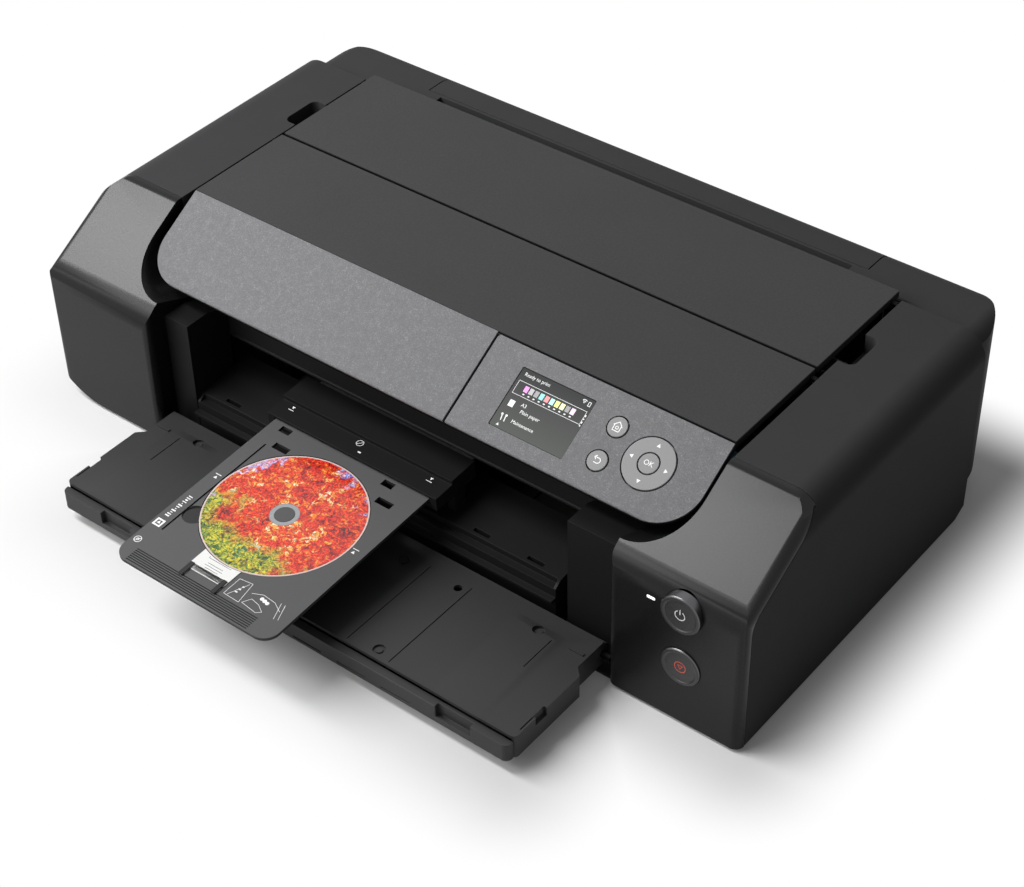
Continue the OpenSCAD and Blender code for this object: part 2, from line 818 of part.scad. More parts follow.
module paper_support() {
  color("#2b2b2c") difference() {
    translate([0, 0, support_z]) linear_extrude(support_t)
      rounded([[-support_w / 2, cover_front + 6], [support_w / 2, cover_front + 6],
               [support_w / 2, rear_pin_y - 9], [-support_w / 2, rear_pin_y - 9]], [8, 8, 2, 2]);
    for (x = [-70 : 35 : 70])
      translate([0, 0, support_z - 1]) linear_extrude(5)
        round_box([x - 11, cover_front + 24], [x + 11, rear_pin_y - 24], 4);
    translate([0, 0, support_z - 1]) linear_extrude(5)
      round_box([-16, cover_front + 9.5], [16, cover_front + 17], 3.5);
  }
}

// Front controls

module lamp_outline(i) {
  round_box([lamp_x - 3.3 - i, lamp_z - 1.1 - i], [lamp_x + 3.3 + i, lamp_z + 1.1 + i], 1);
}

module status_lamp() {
  color("#f2f4f6") along(-0.4, wall + 2) lamp_outline(0);
}

// A round front button with a bevelled rim and a shallow dish, standing out of the front by proud
module front_key(z, proud) {
  translate([key_x, 0, z]) rotate([90, 0, 0]) rotate_extrude()
    polygon([
      [0, proud - 0.8], [key_r - 3.4, proud - 0.8], [key_r - 2.6, proud], [key_r - 1, proud],
      [key_r, proud - 1], [key_r, -wall - 1], [6, -wall - 1], [4, 2 + key_press + 0.3 - key_board_y],
      [0, 2 + key_press + 0.3 - key_board_y]
    ]);
}

module power_button() {
  color("#3b3c3e") front_key(power_z, 4.5);
}

module stop_button() {
  color("#3b3c3e") front_key(stop_z, 1.8);
}

// Output tray

// Plan of the output tray, drawn in by i
module tray_plan(i, front) {
  rounded([[-tray_x + i, front], [tray_x - i, front], [tray_x - i, -28], [tray_x - 6 - i, -22],
           [tray_x - 6 - i, hinge_y + 2], [-tray_x + 6 + i, hinge_y + 2], [-tray_x + 6 + i, -22],
           [-tray_x + i, -28]],
          [4, 4, 0, 0, 0, 0, 0, 0]);
}

// A raised field of the tray's surface with bevelled edges
module tray_field(x0, x1, y0, y1) {
  low = tray_z - 1;
  top = tray_z + 1.8;
  intersection() {
    along(y0 - 1, y1 + 1)
      polygon([[x0, low], [x1, low], [x1, tray_z], [x1 - 3, top], [x0 + 3, top], [x0, tray_z]]);
    across(x0 - 1, x1 + 1)
      polygon([[y0, low], [y1, low], [y1, tray_z], [y1 - 7, top], [y0 + 4, top], [y0, tray_z]]);
  }
}

bar_t = 7;

module output_tray() {
  lip = -tray_l + bar_t;
  color("#323233") difference() {
    union() {
      difference() {
        translate([0, 0, tray_low]) linear_extrude(tray_t) tray_plan(0, lip);
        translate([0, 0, tray_low + 2]) linear_extrude(tray_t - 4.5) tray_plan(3, lip - 8);
        span([-tray_x + 9, hinge_y - 16, tray_low - 1], [tray_x - 9, far, tray_z - 2.5]);
      }
      both_sides() rod(tray_x - 12, tray_x - 6, hinge_y, hinge_z, 8);
      for (x = [[-188, -142], [138, 183]])
        tray_field(x[0], x[1], lip + 0.5, -5);
      for (x = [-202, 189])
        span([x, -12.5, tray_z - eps], [x + 12, -10, tray_z + 1]);
    }
    both_sides() rod(tray_x - 13, tray_x, hinge_y, hinge_z, tray_pin_r + run);
    for (x = [-100, -63, 63, 100])
      span([x - 0.5, lip + 3, tray_z - 0.7], [x + 0.5, -6, far]);
    for (x = [-176, 176])
      span([x - 0.4, -45, tray_z + 0.8], [x + 0.4, -14, far]);
    for (p = [[87, -90], [43.5, -12.6], [162.6, -11], [-161.6, -8.5], [-125, -90]])
      translate([p[0], p[1], tray_z - 1.6]) difference() {
        cylinder(h = 5, r = 4.6);
        translate([0, 0, -1]) cylinder(h = 2, r = 2.6);
      }
    translate([92, -11.6, tray_z - 4]) cylinder(h = 8, r = 3.2);
    both_sides() {
      span([tray_x - 2.5, -76, tray_z - 7], [tray_x + 1, -64, far]);
      span([tray_x - 2.5, -90, tray_z - 1.2], [tray_x - 1.5, -76 + eps, far]);
    }
  }
}

module tray_extension() {
  lip = -tray_l + bar_t;
  color("#2b2b2c") difference() {
    union() {
      translate([0, 0, tray_low + 1]) linear_extrude(tray_t - 5)
        rounded([[-tray_x + 1, -tray_l], [tray_x - 1, -tray_l], [tray_x - 1, lip - gap],
                 [-tray_x + 1, lip - gap]], [5, 5, 0, 0]);
      span([-tray_x + 14, lip - gap - eps, tray_low + 2 + gap], [tray_x - 14, -22, tray_low + 6]);
      for (x = [-150 : 60 : 150])
        span([x - 1, lip, tray_low + 6 - eps], [x + 1, -26, tray_low + 9]);
    }
    for (x = [-168, 148])
      span([x, -tray_l - 1, tray_low + 6], [x + 30, -tray_l + 4, tray_low + 20]);
    for (x = [-100 : 40 : 100])
      translate([x, -tray_l - 1, tray_low + 3.4]) cube([26, 2, 1.2]);
  }
}

// Disc tray

module disc_tray_guide() {
  y0 = 14;
  y1 = 58;
  rail_t = 7;
  ledge = hook_h + gap + 1.7;
  color("#242425") {
    on_path() difference() {
      span([disc_x0 - gap - rail_t, y0, -disc_tray_t - gap - 5], [disc_x1 + gap + rail_t, y1, 7]);
      span([disc_x0 - gap, y0 - 1, -disc_tray_t - gap], [disc_x1 + gap, y1 + 1, hook_h + gap]);
      span([disc_x0 - gap - rail_t - 1, y0 - 1, ledge], [disc_x1 + far, y0 + 18, far]);
      for (x = [disc_x0 + 12 : 22 : disc_x1 - 20])
        span([x, y0 + 12, -disc_tray_t - far], [x + 12, y1 - 6, -disc_tray_t]);
    }
    for (x = [disc_x0 - gap - rail_t, disc_x1 + gap])
      across(x, x + rail_t) polygon([
        [y0 + 20, guide_z(y0 + 20)], [y0 + 32, guide_z(y0 + 32)], [y0 + 32, path_top(y0 + 20) - 4],
        [y0 + 20, path_top(y0 + 20) - 4]
      ]);
  }
}

disc_recess = disc_d / 2 + 0.6;
disc_seat = disc_t + 0.3;
hub_r = disc_hole / 2 - 0.2;

module disc_tray() {
  color("#4a4a4b") on_path() difference() {
    union() {
      difference() {
        translate([0, 0, -disc_tray_t]) linear_extrude(disc_tray_t)
          rounded([[disc_x0, -disc_front], [disc_x1, -disc_front], [disc_x1, disc_back],
                   [disc_x0, disc_back]], [12, 12, 5, 5]);
        translate([disc_x, -disc_y, -disc_seat]) cylinder(h = far, r = disc_recess);
        translate([disc_x0 + 21, -disc_y - 37, -disc_tray_t - 1]) cylinder(h = far, r = 9);
      }
      translate([disc_x, -disc_y, -disc_tray_t]) cylinder(h = disc_tray_t, r = hub_r);
    }
    span([disc_x0 + 12, -117, -1], [disc_x0 + 13.6, -10, far]);
    for (x = [disc_x0 + 18, disc_x1 - 30])
      span([x, -10, -disc_tray_t - 1], [x + 14, -4, far]);
    for (x = [disc_x0 + 10, disc_x1 - 38])
      span([x, 6, -disc_tray_t - 1], [x + 10, 12, far]);
    for (k = [0 : 6])
      translate([disc_x0 + 12, -disc_front + 1.5 + k * 1.85, -0.8]) cube([disc_tray_w - 32.5, 0.9, far]);
    for (x = hook_places)
      span([x - hook_w / 2, label_low - 6, -disc_tray_t - 1], [x + hook_w / 2, label_low - 1, far]);
  }
}

module disc() {
  color("#c8642e") on_path() translate([disc_x, -disc_y, -disc_seat]) difference() {
    cylinder(h = disc_t, r = disc_d / 2);
    translate([0, 0, -1]) cylinder(h = disc_t + 2, r = disc_hole / 2);
  }
}

label_low = -disc_y - disc_d / 2 - 17;
hook_h = 1.6;
hook_w = 3.6;
hook_places = [disc_x - 19, disc_x + 11.6];

// Card label held by two hooks at the front of the disc tray
module tray_label() {
  color("#d8d8d6") on_path() {
    linear_extrude(0.6) difference() {
      round_box([disc_x - 21.4, label_low], [disc_x + 14, label_low + 24], 1.5);
      translate([disc_x, -disc_y]) circle(disc_recess + 0.4);
    }
    for (x = hook_places) {
      span([x - hook_w / 2 + fit, label_low - 6 + fit, -disc_tray_t],
           [x + hook_w / 2 - fit, label_low - 1 - fit, hook_h - 0.2]);
      span([x - hook_w / 2, label_low - 8.5, 0.6 - eps], [x + hook_w / 2, label_low + 5, hook_h]);
    }
  }
}

// Mouth

guide_front = 18;
guide_back = 74;
guide_x0 = -mouth_x + 24.7;
guide_x1 = mouth_x - 56.7;

// Height of the output guide's surface at a depth
function guide_z(y) = 46 + (y - guide_front) * 0.12;

module output_guide() {
  color("#1d1d1e") difference() {
    union() {
      across(guide_x0, guide_x1) polygon([
        [guide_front + 6, guide_z(guide_front + 6)], [guide_back, guide_z(guide_back)],
        [guide_back, guide_z(guide_back) - 2.5], [guide_front + 2.5, guide_z(guide_front) - 5],
        [guide_front + 2.5, floor_z], [guide_front, floor_z], [guide_front, guide_z(guide_front) - 4],
        [guide_front + 6, guide_z(guide_front) - 4]
      ]);
      for (x = [guide_x0, guide_x1 - 2.5])
        across(x, x + 2.5) polygon([
          [guide_front, floor_z], [guide_back, floor_z], [guide_back, guide_z(guide_back)],
          [guide_front + 6, guide_z(guide_front + 6)], [guide_front, guide_z(guide_front) - 4]
        ]);
      span([guide_x0, guide_front - 5, guide_z(guide_front) - 14],
           [guide_x1, guide_front + 1, guide_z(guide_front) - 11.5]);
    }
    for (x = [guide_x0 + 22 : 48 : guide_x1 - 20])
      span([x, guide_front + 9, 0], [x + 14, guide_front + 12, far]);
  }
}

mouth_top = side_h - 54;

// Height under the scoop's shell at a depth
function under_scoop(y) = scoop_z - wall - seam - (y - scoop_y) * tan(scoop);

// Boxes that close the mouth at both sides of the guide, with tops that keep under the scoop
module mouth_panels() {
  t = 2.5;
  back = holder_front - gap;
  fold = min(back - 1, scoop_y + (scoop_z - wall - seam - mouth_top) / tan(scoop));
  back_top = min(mouth_top, under_scoop(back));
  color("#141415") for (x = [[-mouth_x + seam, guide_x0 - seam], [guide_x1 + 10, mouth_x - seam]]) {
    inner = x[0] < 0 ? x[1] - t : x[0];
    across(x[0], x[1]) polygon([
      [guide_front, floor_z], [guide_front + t, floor_z], [guide_front + t, mouth_top - t],
      [fold - 0.5, mouth_top - t], [back, back_top - t], [back, back_top], [fold, mouth_top],
      [guide_front, mouth_top]
    ]);
    across(inner, inner + t) polygon([
      [guide_front, floor_z], [back, floor_z], [back, back_top], [fold, mouth_top],
      [guide_front, mouth_top]
    ]);
  }
}

// Frame and print engine

frame_front = 64;
frame_step = 92;

// A frame plate at the right, standing on stepped feet
module frame_plate() {
  x = frame_x;
  low = floor_z + 8;
  foot_x = hw - belly_w - 5;
  difference() {
    union() {
      across(x, x + sheet) difference() {
        rounded([[frame_front, low], [rise_y - 4, low], [rise_y - 4, 60], [side_end - 12, 110],
                 [side_end - 12, frame_top], [rail_y + 11, frame_top], [rail_front - 8, frame_top - 20],
                 [rail_front - 8, frame_step], [frame_front, frame_step]],
                [0, 0, 0, 0, 8, 8, 0, 0, 6]);
        round_box([104, 22], [146, 50], 6);
        round_box([212, 24], [262, 62], 6);
        round_box([244, 92], [274, 120], 6);
      }
      for (y = [frame_front + 2, rail_y - 6]) {
        span([foot_x, y, low + 2], [x + sheet, y + 15, low + 2 + sheet]);
        span([foot_x, y, floor_z], [foot_x + sheet, y + 15, low + 2 + sheet]);
      }
    }
    rod(x - 1, x + 3, eject_y, eject_z, journal_r + run);
    rod(x - 1, x + 3, feed_roller_y, feed_z, journal_r + run);
    rod(x - 1, x + 3, pick_y, pick_z, journal_r + run);
  }
}

module left_frame_plate() {
  color("#9ea2a6") difference() {
    union() {
      mirror([1, 0, 0]) frame_plate();
      rod(gear_x - 1, -frame_x - sheet + eps, idler_y, idler_z, 2);
    }
    rod(-frame_x - sheet - 1, -frame_x + 1, pinion_y, pinion_z, 5);
  }
}

module right_frame_plate() {
  color("#9ea2a6") frame_plate();
}

module carriage_rail() {
  color("#b4b7ba") difference() {
    union() {
      across(-frame_x, frame_x) polygon([
        [rail_front, rail_low], [rail_y + sheet, rail_low], [rail_y + sheet, rail_high],
        [rail_y - 16, rail_high], [rail_y - 16, rail_high - 8], [rail_y - 16 + sheet, rail_high - 8],
        [rail_y - 16 + sheet, rail_high - sheet], [rail_y, rail_high - sheet], [rail_y, rail_low + sheet],
        [rail_front, rail_low + sheet]
      ]);
      translate([pulley_x, belt_y, rail_low]) cylinder(h = belt_z + belt_h + 4 - rail_low, r = 2);
    }
    translate([-pulley_x, belt_y, rail_low - 1]) cylinder(h = 5, r = 4);
    for (x = [-240 : 60 : 240])
      translate([x, rail_y - 1, 110]) rotate([-90, 0, 0]) cylinder(h = 5, r = 6);
  }
}

// Stadium outline of the belt loop, grown by i
module belt_outline(i) {
  for (x = [-pulley_x, pulley_x])
    translate([x, belt_y]) circle(pulley_r + i);
  translate([-pulley_x, belt_y - pulley_r - i]) square([2 * pulley_x, 2 * (pulley_r + i)]);
}

module carriage_belt() {
  color("#1a1a1a") translate([0, 0, belt_z]) linear_extrude(belt_h) difference() {
    belt_outline(gap + belt_t);
    belt_outline(gap);
  }
}

// A flanged belt pulley with its bore or shaft
module pulley(x, bore, shaft_low) {
  translate([x, belt_y, 0]) difference() {
    union() {
      translate([0, 0, belt_z - 0.6]) cylinder(h = belt_h + 1.2, r = pulley_r - 0.01);
      for (z = [belt_z - 2, belt_z + belt_h + 0.5])
        translate([0, 0, z]) cylinder(h = 1.5, r = pulley_r - 0.01);
      if (shaft_low > 0) translate([0, 0, shaft_low]) cylinder(h = belt_z - shaft_low, r = motor_shaft_r);
    }
    if (bore > 0) translate([0, 0, belt_z - 5]) cylinder(h = 20, r = bore);
    for (a = [0 : 60 : 300])
      rotate([0, 0, a]) translate([5, 0, belt_z - 5]) cylinder(h = 20, r = 1.3);
  }
}

module motor_pulley() {
  color("#c9a24a") pulley(-pulley_x, 0, rail_low - 8);
}

module idler_pulley() {
  color("#c9a24a") pulley(pulley_x, 2 + run, 0);
}

module carriage_motor() {
  color("#7c7f83") translate([-pulley_x, belt_y, 0]) difference() {
    union() {
      translate([0, 0, rail_low - 28]) cylinder(h = 28, r = motor_r);
      translate([0, 0, rail_low - eps]) cylinder(h = sheet + 1, r = 3.8);
    }
    translate([0, 0, rail_low - 10]) cylinder(h = 20, r = motor_shaft_r + run);
  }
}

module encoder_strip() {
  color("#d5d8da") span([-frame_x, strip_y, strip_low], [frame_x, strip_y + strip_t, strip_low + strip_h]);
}

// Carriage and what it carries

tank_pitch = (carriage_w - 4) / tank_count;

module carriage() {
  x0 = park_x - carriage_w / 2;
  x1 = park_x + carriage_w / 2;
  color("#202021") difference() {
    union() {
      span([x0, carriage_front, carriage_low], [x1, carriage_back, carriage_top]);
      across(x0, x1) polygon([
        [carriage_front - 6, carriage_top - 24], [carriage_front + eps, carriage_top - 24],
        [carriage_front + eps, carriage_top], [carriage_front - 6, carriage_top - 4]
      ]);
      span([x0 + 10, carriage_back - eps, carriage_top - 4], [x1 - 10, rail_y - 20, carriage_top + 4]);
      span([x0 + 10, rail_y - 22, carriage_top - 4], [x1 - 10, rail_y - 16 - gap, rail_high + 4]);
      span([x0 + 10, rail_y - 22, rail_high + gap], [x1 - 10, rail_y - 2, rail_high + 4]);
      for (x = [x0 + 12, x1 - 24])
        span([x, carriage_back - eps, rail_low + sheet + gap], [x + 12, rail_front + 6, 98]);
      span([park_x - 12, carriage_back - eps, 96],
           [park_x + 12, belt_y - pulley_r - gap - belt_t - gap, 110]);
    }
    span([x0 + 2, carriage_front + 2, carriage_low + 4], [x1 - 2, carriage_back - 2, far]);
    span([x0 + 12, 110, carriage_low - 1], [x1 - 12, 138, carriage_low + 8]);
    span([x0 - 1, strip_y - 1, strip_low - 2], [x1 + 1, strip_y + strip_t + 1, strip_low + strip_h + 2]);
  }
}

module print_head() {
  x0 = park_x - carriage_w / 2 + 12 + gap;
  x1 = park_x + carriage_w / 2 - 12 - gap;
  color("#55585c") difference() {
    union() {
      span([x0, 110 + gap, head_low + 2], [x1, 138 - gap, carriage_low + 4]);
      span([x0 + 4, 114, head_low], [x1 - 4, 134, head_low + 2 + eps]);
    }
    for (k = [0 : tank_count - 1])
      translate([x0 + 8 + k * (x1 - x0 - 16) / (tank_count - 1), 116, head_low - eps]) translate([-0.5, 0, 0])
        cube([1, 16, 0.4]);
  }
}

module ink_tanks() {
  x0 = park_x - carriage_w / 2 + 2;
  color("#39393b") for (k = [0 : tank_count - 1])
    across(x0 + k * tank_pitch + gap, x0 + (k + 1) * tank_pitch - gap)
      rounded([[carriage_front + 2.3, carriage_low + 4], [carriage_back - 2.3, carriage_low + 4],
               [carriage_back - 2.3, tank_top - 6], [carriage_back - 14, tank_top],
               [carriage_front + 8, tank_top], [carriage_front + 2.3, tank_top - 10]],
              [0, 0, 3, 3, 3, 3]);
}

purge_w = 88;
platen_gap = 9;
platen_x = park_x - purge_w / 2 - platen_gap;

module platen() {
  x1 = platen_x;
  color("#232324") {
    on_path() {
      span([-x1, eject_y + 8, -disc_tray_t - 8], [x1, feed_roller_y - 10, -disc_tray_t - 5]);
      for (x = [-x1 + 2 : 17 : x1 - 2])
        span([x - 0.8, eject_y + 8, -disc_tray_t - 5 - eps],
             [x + 0.8, feed_roller_y - 10, -disc_tray_t - gap - 0.2]);
    }
    for (x = [-x1, x1 - 3])
      span([x, eject_y + 12, floor_z], [x + 3, feed_roller_y - 14, path_low(eject_y + 12) - 6]);
  }
}

// Involute gear outline with backlash, tooth centred on angle turn
function involute(base, r) = sqrt(max(0, r * r / base / base - 1)) * 180 / PI - acos(min(1, base / r));
module gear_outline(teeth, turn) {
  r = gear_m * teeth / 2;
  base = r * cos(20);
  tip = r + gear_m * 0.95;
  root = r - gear_m * 1.2;
  half_tooth = 90 / teeth - 1.1 / r * 3;
  low = max(base, root);
  function flank(rr) = half_tooth + involute(base, r) - involute(base, rr);
  steps = [low, (low + r) / 2, r, (r + tip) / 2, tip];
  points = [for (k = [0 : teeth - 1]) let (mid = turn + k * 360 / teeth) each concat(
    [[root, mid - flank(low) - 0.5]],
    [for (rr = steps) [rr, mid - flank(rr)]],
    [for (j = [4 : -1 : 0]) [steps[j], mid + flank(steps[j])]],
    [[root, mid + flank(low) + 0.5]])];
  polygon([for (p = points) p[0] * [cos(p[1]), sin(p[1])]]);
}

// Turn of a gear's teeth so that it meshes with a neighbour seen at angle dir from that neighbour
function mesh_turn(teeth, dir, other_teeth, other_turn) =
  dir + 180 - 360 / teeth * (0.5 - (dir - other_turn) * other_teeth / 360);

feed_turn = 0;
idler_tooth = mesh_turn(idler_teeth, idler_turn, roller_teeth, feed_turn);
eject_tooth = mesh_turn(roller_teeth, idler_to_eject, idler_teeth, idler_tooth);
pinion_tooth = mesh_turn(pinion_teeth, pinion_turn, roller_teeth, feed_turn);

module gear(teeth, turn, y, z, bore) {
  across(gear_x, gear_x + gear_w) translate([y, z]) difference() {
    gear_outline(teeth, turn);
    if (bore > 0) circle(bore);
  }
}

module feed_roller() {
  color("#8b8e90") {
    rod(-180, 180, feed_roller_y, feed_z, feed_r);
    rod(gear_x + eps, frame_x + sheet + 3, feed_roller_y, feed_z, journal_r);
    gear(roller_teeth, feed_turn, feed_roller_y, feed_z, 0);
  }
}

module eject_roller() {
  color("#2e2e2f") {
    rod(gear_x + eps, frame_x + sheet + 3, eject_y, eject_z, journal_r);
    for (x = [-150 : 50 : 150])
      rod(x - 8, x + 8, eject_y, eject_z, eject_r);
    gear(roller_teeth, eject_tooth, eject_y, eject_z, 0);
  }
}

module idler_gear() {
  color("#dcdcd6") gear(idler_teeth, idler_tooth, idler_y, idler_z, 2 + run);
}

module motor_pinion() {
  color("#c9a24a") {
    gear(pinion_teeth, pinion_tooth, pinion_y, pinion_z, 0);
    rod(gear_x + eps, -frame_x + 12, pinion_y, pinion_z, motor_shaft_r);
  }
}

module feed_motor() {
  color("#7c7f83") difference() {
    union() {
      rod(-frame_x, -frame_x + 38, pinion_y, pinion_z, motor_r);
      rod(-frame_x - sheet - 1, -frame_x + eps, pinion_y, pinion_z, 4.8);
    }
    rod(-frame_x - sheet - 2, -frame_x + 14, pinion_y, pinion_z, motor_shaft_r + run);
  }
}

module pinch_holder() {
  axis_y = feed_roller_y + 4;
  axis_z = path_top(axis_y) + 0.8 + 3.5;
  color("#2b2b2c") {
    span([-176, axis_y + 5, rail_low - 6], [176, rail_y - 4, rail_low]);
    for (x = [-150 : 60 : 150]) {
      rod(x - 18, x + 18, axis_y, axis_z, 3.5);
      for (s = [-22, 18.4])
        across(x + s, x + s + 3.6) polygon([
          [axis_y - 3, axis_z - 2], [axis_y + 8, axis_z - 1], [axis_y + 16, rail_low - eps],
          [axis_y + 5, rail_low - 2], [axis_y - 3, axis_z + 2.5]
        ]);
      rod(x - 20, x + 20, axis_y, axis_z, 1.2);
    }
  }
}

holder_front = guide_back - 14;
holder_back = carriage_front - 8;
holder_bar_y = holder_back - 4;
holder_top = 96.5;
holder_low = holder_top - 6.5;

module star_wheel_holder() {
  wheel_y = eject_y - 2;
  wheel_z = path_top(wheel_y) + 0.8 + 4;
  color("#1c1c1d") {
    across(-mouth_x + gap, mouth_x - gap) polygon([
      [holder_front, path_top(guide_back) + 6], [holder_front + 2.5, path_top(guide_back) + 6],
      [holder_front + 2.5, holder_top - 2.5], [holder_back, holder_top - 2.5], [holder_back, holder_top],
      [holder_front, holder_top]
    ]);
    span([-frame_x, holder_bar_y, holder_low], [frame_x, holder_back, holder_top]);
    across(-mouth_x + 30, mouth_x - 60)
      translate([holder_front + 0.5, path_top(guide_back) + 8]) circle(1.8);
    for (x = [-150 : 50 : 150]) {
      rod(x - 1.5, x + 1.5, wheel_y, wheel_z, 4);
      across(x - 3, x + 3) polygon([
        [wheel_y - 6, wheel_z - 1], [wheel_y + 1, wheel_z - 1], [wheel_y + 1, holder_top - 2.5 + eps],
        [wheel_y - 8, holder_top - 2.5 + eps]
      ]);
    }
  }
}

module purge_unit() {
  x0 = park_x - purge_w / 2;
  x1 = park_x + purge_w / 2;
  color("#2a2a2b") {
    span([x0, eject_y + 12, floor_z], [x1, feed_roller_y - 14, 62]);
    for (k = [0, 1])
      difference() {
        span([x0 + 6 + k * 40, eject_y + 20, 62 - eps], [x0 + 42 + k * 40, feed_roller_y - 24, head_low - 1]);
        span([x0 + 8 + k * 40, eject_y + 22, 72], [x0 + 40 + k * 40, feed_roller_y - 26, far]);
      }
    span([x0 + 1, eject_y + 18, 62 - eps], [x0 + 3, feed_roller_y - 22, head_low - 0.5]);
  }
}

module waste_absorber() {
  x1 = platen_x - 22;
  color("#d9d6cc") difference() {
    span([-x1, guide_back + 4, floor_z], [x1, rail_y + 4, 34]);
    for (x = [-x1 + 30 : 40 : x1 - 30])
      span([x - 1, guide_back, 30], [x + 1, far, far]);
  }
}

supply_w = 98;

module power_supply() {
  x0 = -hw + belly_w + 3;
  color("#4c5054") difference() {
    span([x0, 206, floor_z], [x0 + supply_w, rise_y - 6, 52]);
    for (x = [x0 + 10 : 12 : x0 + supply_w - 14])
      span([x, 214, 48], [x + 5, rise_y - 14, far]);
  }
}

module circuit_boards() {
  color("#2c5a3c") {
    span([board_x0, side_end + 3, board_z], [board_x1, body_d - 12, board_z + 1.6]);
    for (x = [board_x0 + 12 : 24 : board_x1 - 28])
      span([x, side_end + 14, board_z + 1.6 - eps], [x + 14, side_end + 26, board_z + 4]);
    span([key_x - 22, key_board_y, stop_z - 18], [key_x + 22, key_board_y + 1.6, power_z + 9]);
    for (z = [power_z, stop_z])
      translate([key_x, key_board_y + eps, z]) rotate([90, 0, 0]) cylinder(h = 2, r = 3.5);
  }
}

module inlet_outline(i) {
  rounded([[inlet_x - 14 - i, inlet_z - 10 - i], [inlet_x + 14 + i, inlet_z - 10 - i],
           [inlet_x + 14 + i, inlet_z + 6 + i], [inlet_x + 9 + i, inlet_z + 10 + i],
           [inlet_x - 9 - i, inlet_z + 10 + i], [inlet_x - 14 - i, inlet_z + 6 + i]],
          [1.5, 1.5, 1, 1, 1, 1]);
}

module mains_inlet() {
  color("#101011") difference() {
    union() {
      along(body_d - 22, body_d - 0.2) inlet_outline(-0.3);
      along(body_d - 22, body_d - wall - 0.4) inlet_outline(3);
    }
    along(body_d - 15, body_d + 1) inlet_outline(-3.3);
  }
}

module socket_outlines(i) {
  for (x = [[socket_x - 26, 14], [socket_x, 16]])
    translate([x[0] - x[1] / 2 - i, socket_z - 6 - i]) square([x[1] + 2 * i, 13 + 2 * i]);
}

module data_sockets() {
  color("#b8bbbe") difference() {
    along(body_d - 30, body_d - 0.6) socket_outlines(0);
    along(body_d - 12, body_d) socket_outlines(-1.5);
  }
}

// Rear paper feed

// The hopper as a working plane: X across, Y up the slope, Z out of it
module on_hopper() {
  translate([0, hopper_low[0], hopper_low[1]]) rotate([hopper_turn, 0, 0]) children();
}

module rear_feed_base() {
  color("#262627") difference() {
    union() {
      on_hopper() {
        span([-hopper_w / 2 - 6, 0, -3], [hopper_w / 2 + 6, hopper_len, 0]);
        for (x = [-hopper_w / 2 - 6, hopper_w / 2 + 3])
          span([x, 0, -eps], [x + 3, hopper_len, 9]);
      }
      for (x = [-150, 0, 150])
        across(x - 2, x + 2) polygon([
          [rail_y + sheet, hopper_low[1] - 4], [hopper_low[0] + 2, hopper_low[1] - 4],
          [hopper_low[0] + 26, hopper_low[1] + 13.5], [hopper_low[0] + 24, hopper_low[1] + 14.5],
          [hopper_low[0] - 1, hopper_low[1] - 1], [rail_y + sheet, hopper_low[1] + 10]
        ]);
      span([-160, rail_y + sheet, hopper_low[1] - 4], [160, rail_y + sheet + 2.5, hopper_low[1] + 14]);
    }
    on_hopper() rod(-hopper_w, hopper_w, plate_pin[0], plate_pin[1], 1.5 + run);
  }
}

plate_pin = [hopper_len - 6, 3.5];

module pressure_plate() {
  color("#3a3a3c") on_hopper() difference() {
    union() {
      span([-hopper_w / 2 + 6, 4, gap], [hopper_w / 2 - 6, hopper_len - 6, gap + 2]);
      rod(-hopper_w / 2 + 6, hopper_w / 2 - 6, plate_pin[0], plate_pin[1], 2.6);
      rod(-hopper_w / 2 - 6, hopper_w / 2 + 6, plate_pin[0], plate_pin[1], 1.5);
    }
    for (x = [-110, 110])
      span([x - 14, 6, gap + 1.2], [x + 14, 18, far]);
  }
}

module pick_roller() {
  color("#2f2f30") {
    rod(-frame_x - sheet - 3, frame_x + sheet + 3, pick_y, pick_z, journal_r);
    for (x = [-110, 0, 110])
      difference() {
        rod(x - 12, x + 12, pick_y, pick_z, pick_r);
        span([x - 13, pick_y - far, pick_z + pick_r - 5], [x + 13, pick_y + far, pick_z + far]);
      }
  }
}

placed() base_case();
placed() rubber_feet();
placed() case_screws();
placed() left_front_cover();
placed() right_front_cover();
placed() left_side_cover();
placed() right_side_cover();
placed() rear_cover();
placed() manual_feed_cover();
placed() hinge_pins();
placed() top_cover();
placed() slope_panel();
placed() operation_panel();
placed() screen();
placed() panel_board();
placed() home_button();
placed() back_button();
placed() arrow_ring();
placed() ok_button();
placed() rear_tray_cover();
placed() paper_support();
placed() power_button();
placed() stop_button();
placed() status_lamp();
placed() output_tray();
placed() tray_extension();
placed() disc_tray_guide();
placed() disc_tray();
placed() disc();
placed() tray_label();
placed() output_guide();
placed() mouth_panels();
placed() left_frame_plate();
placed() right_frame_plate();
placed() carriage_rail();
placed() carriage();
placed() print_head();
placed() ink_tanks();
placed() carriage_belt();
placed() motor_pulley();
placed() idler_pulley();
placed() carriage_motor();
placed() encoder_strip();
placed() platen();
placed() feed_roller();
placed() eject_roller();
placed() idler_gear();
placed() motor_pinion();
placed() feed_motor();
placed() pinch_holder();
placed() star_wheel_holder();
placed() purge_unit();
placed() waste_absorber();
placed() power_supply();
placed() circuit_boards();
placed() mains_inlet();
placed() data_sockets();
placed() rear_feed_base();
placed() pressure_plate();
placed() pick_roller();
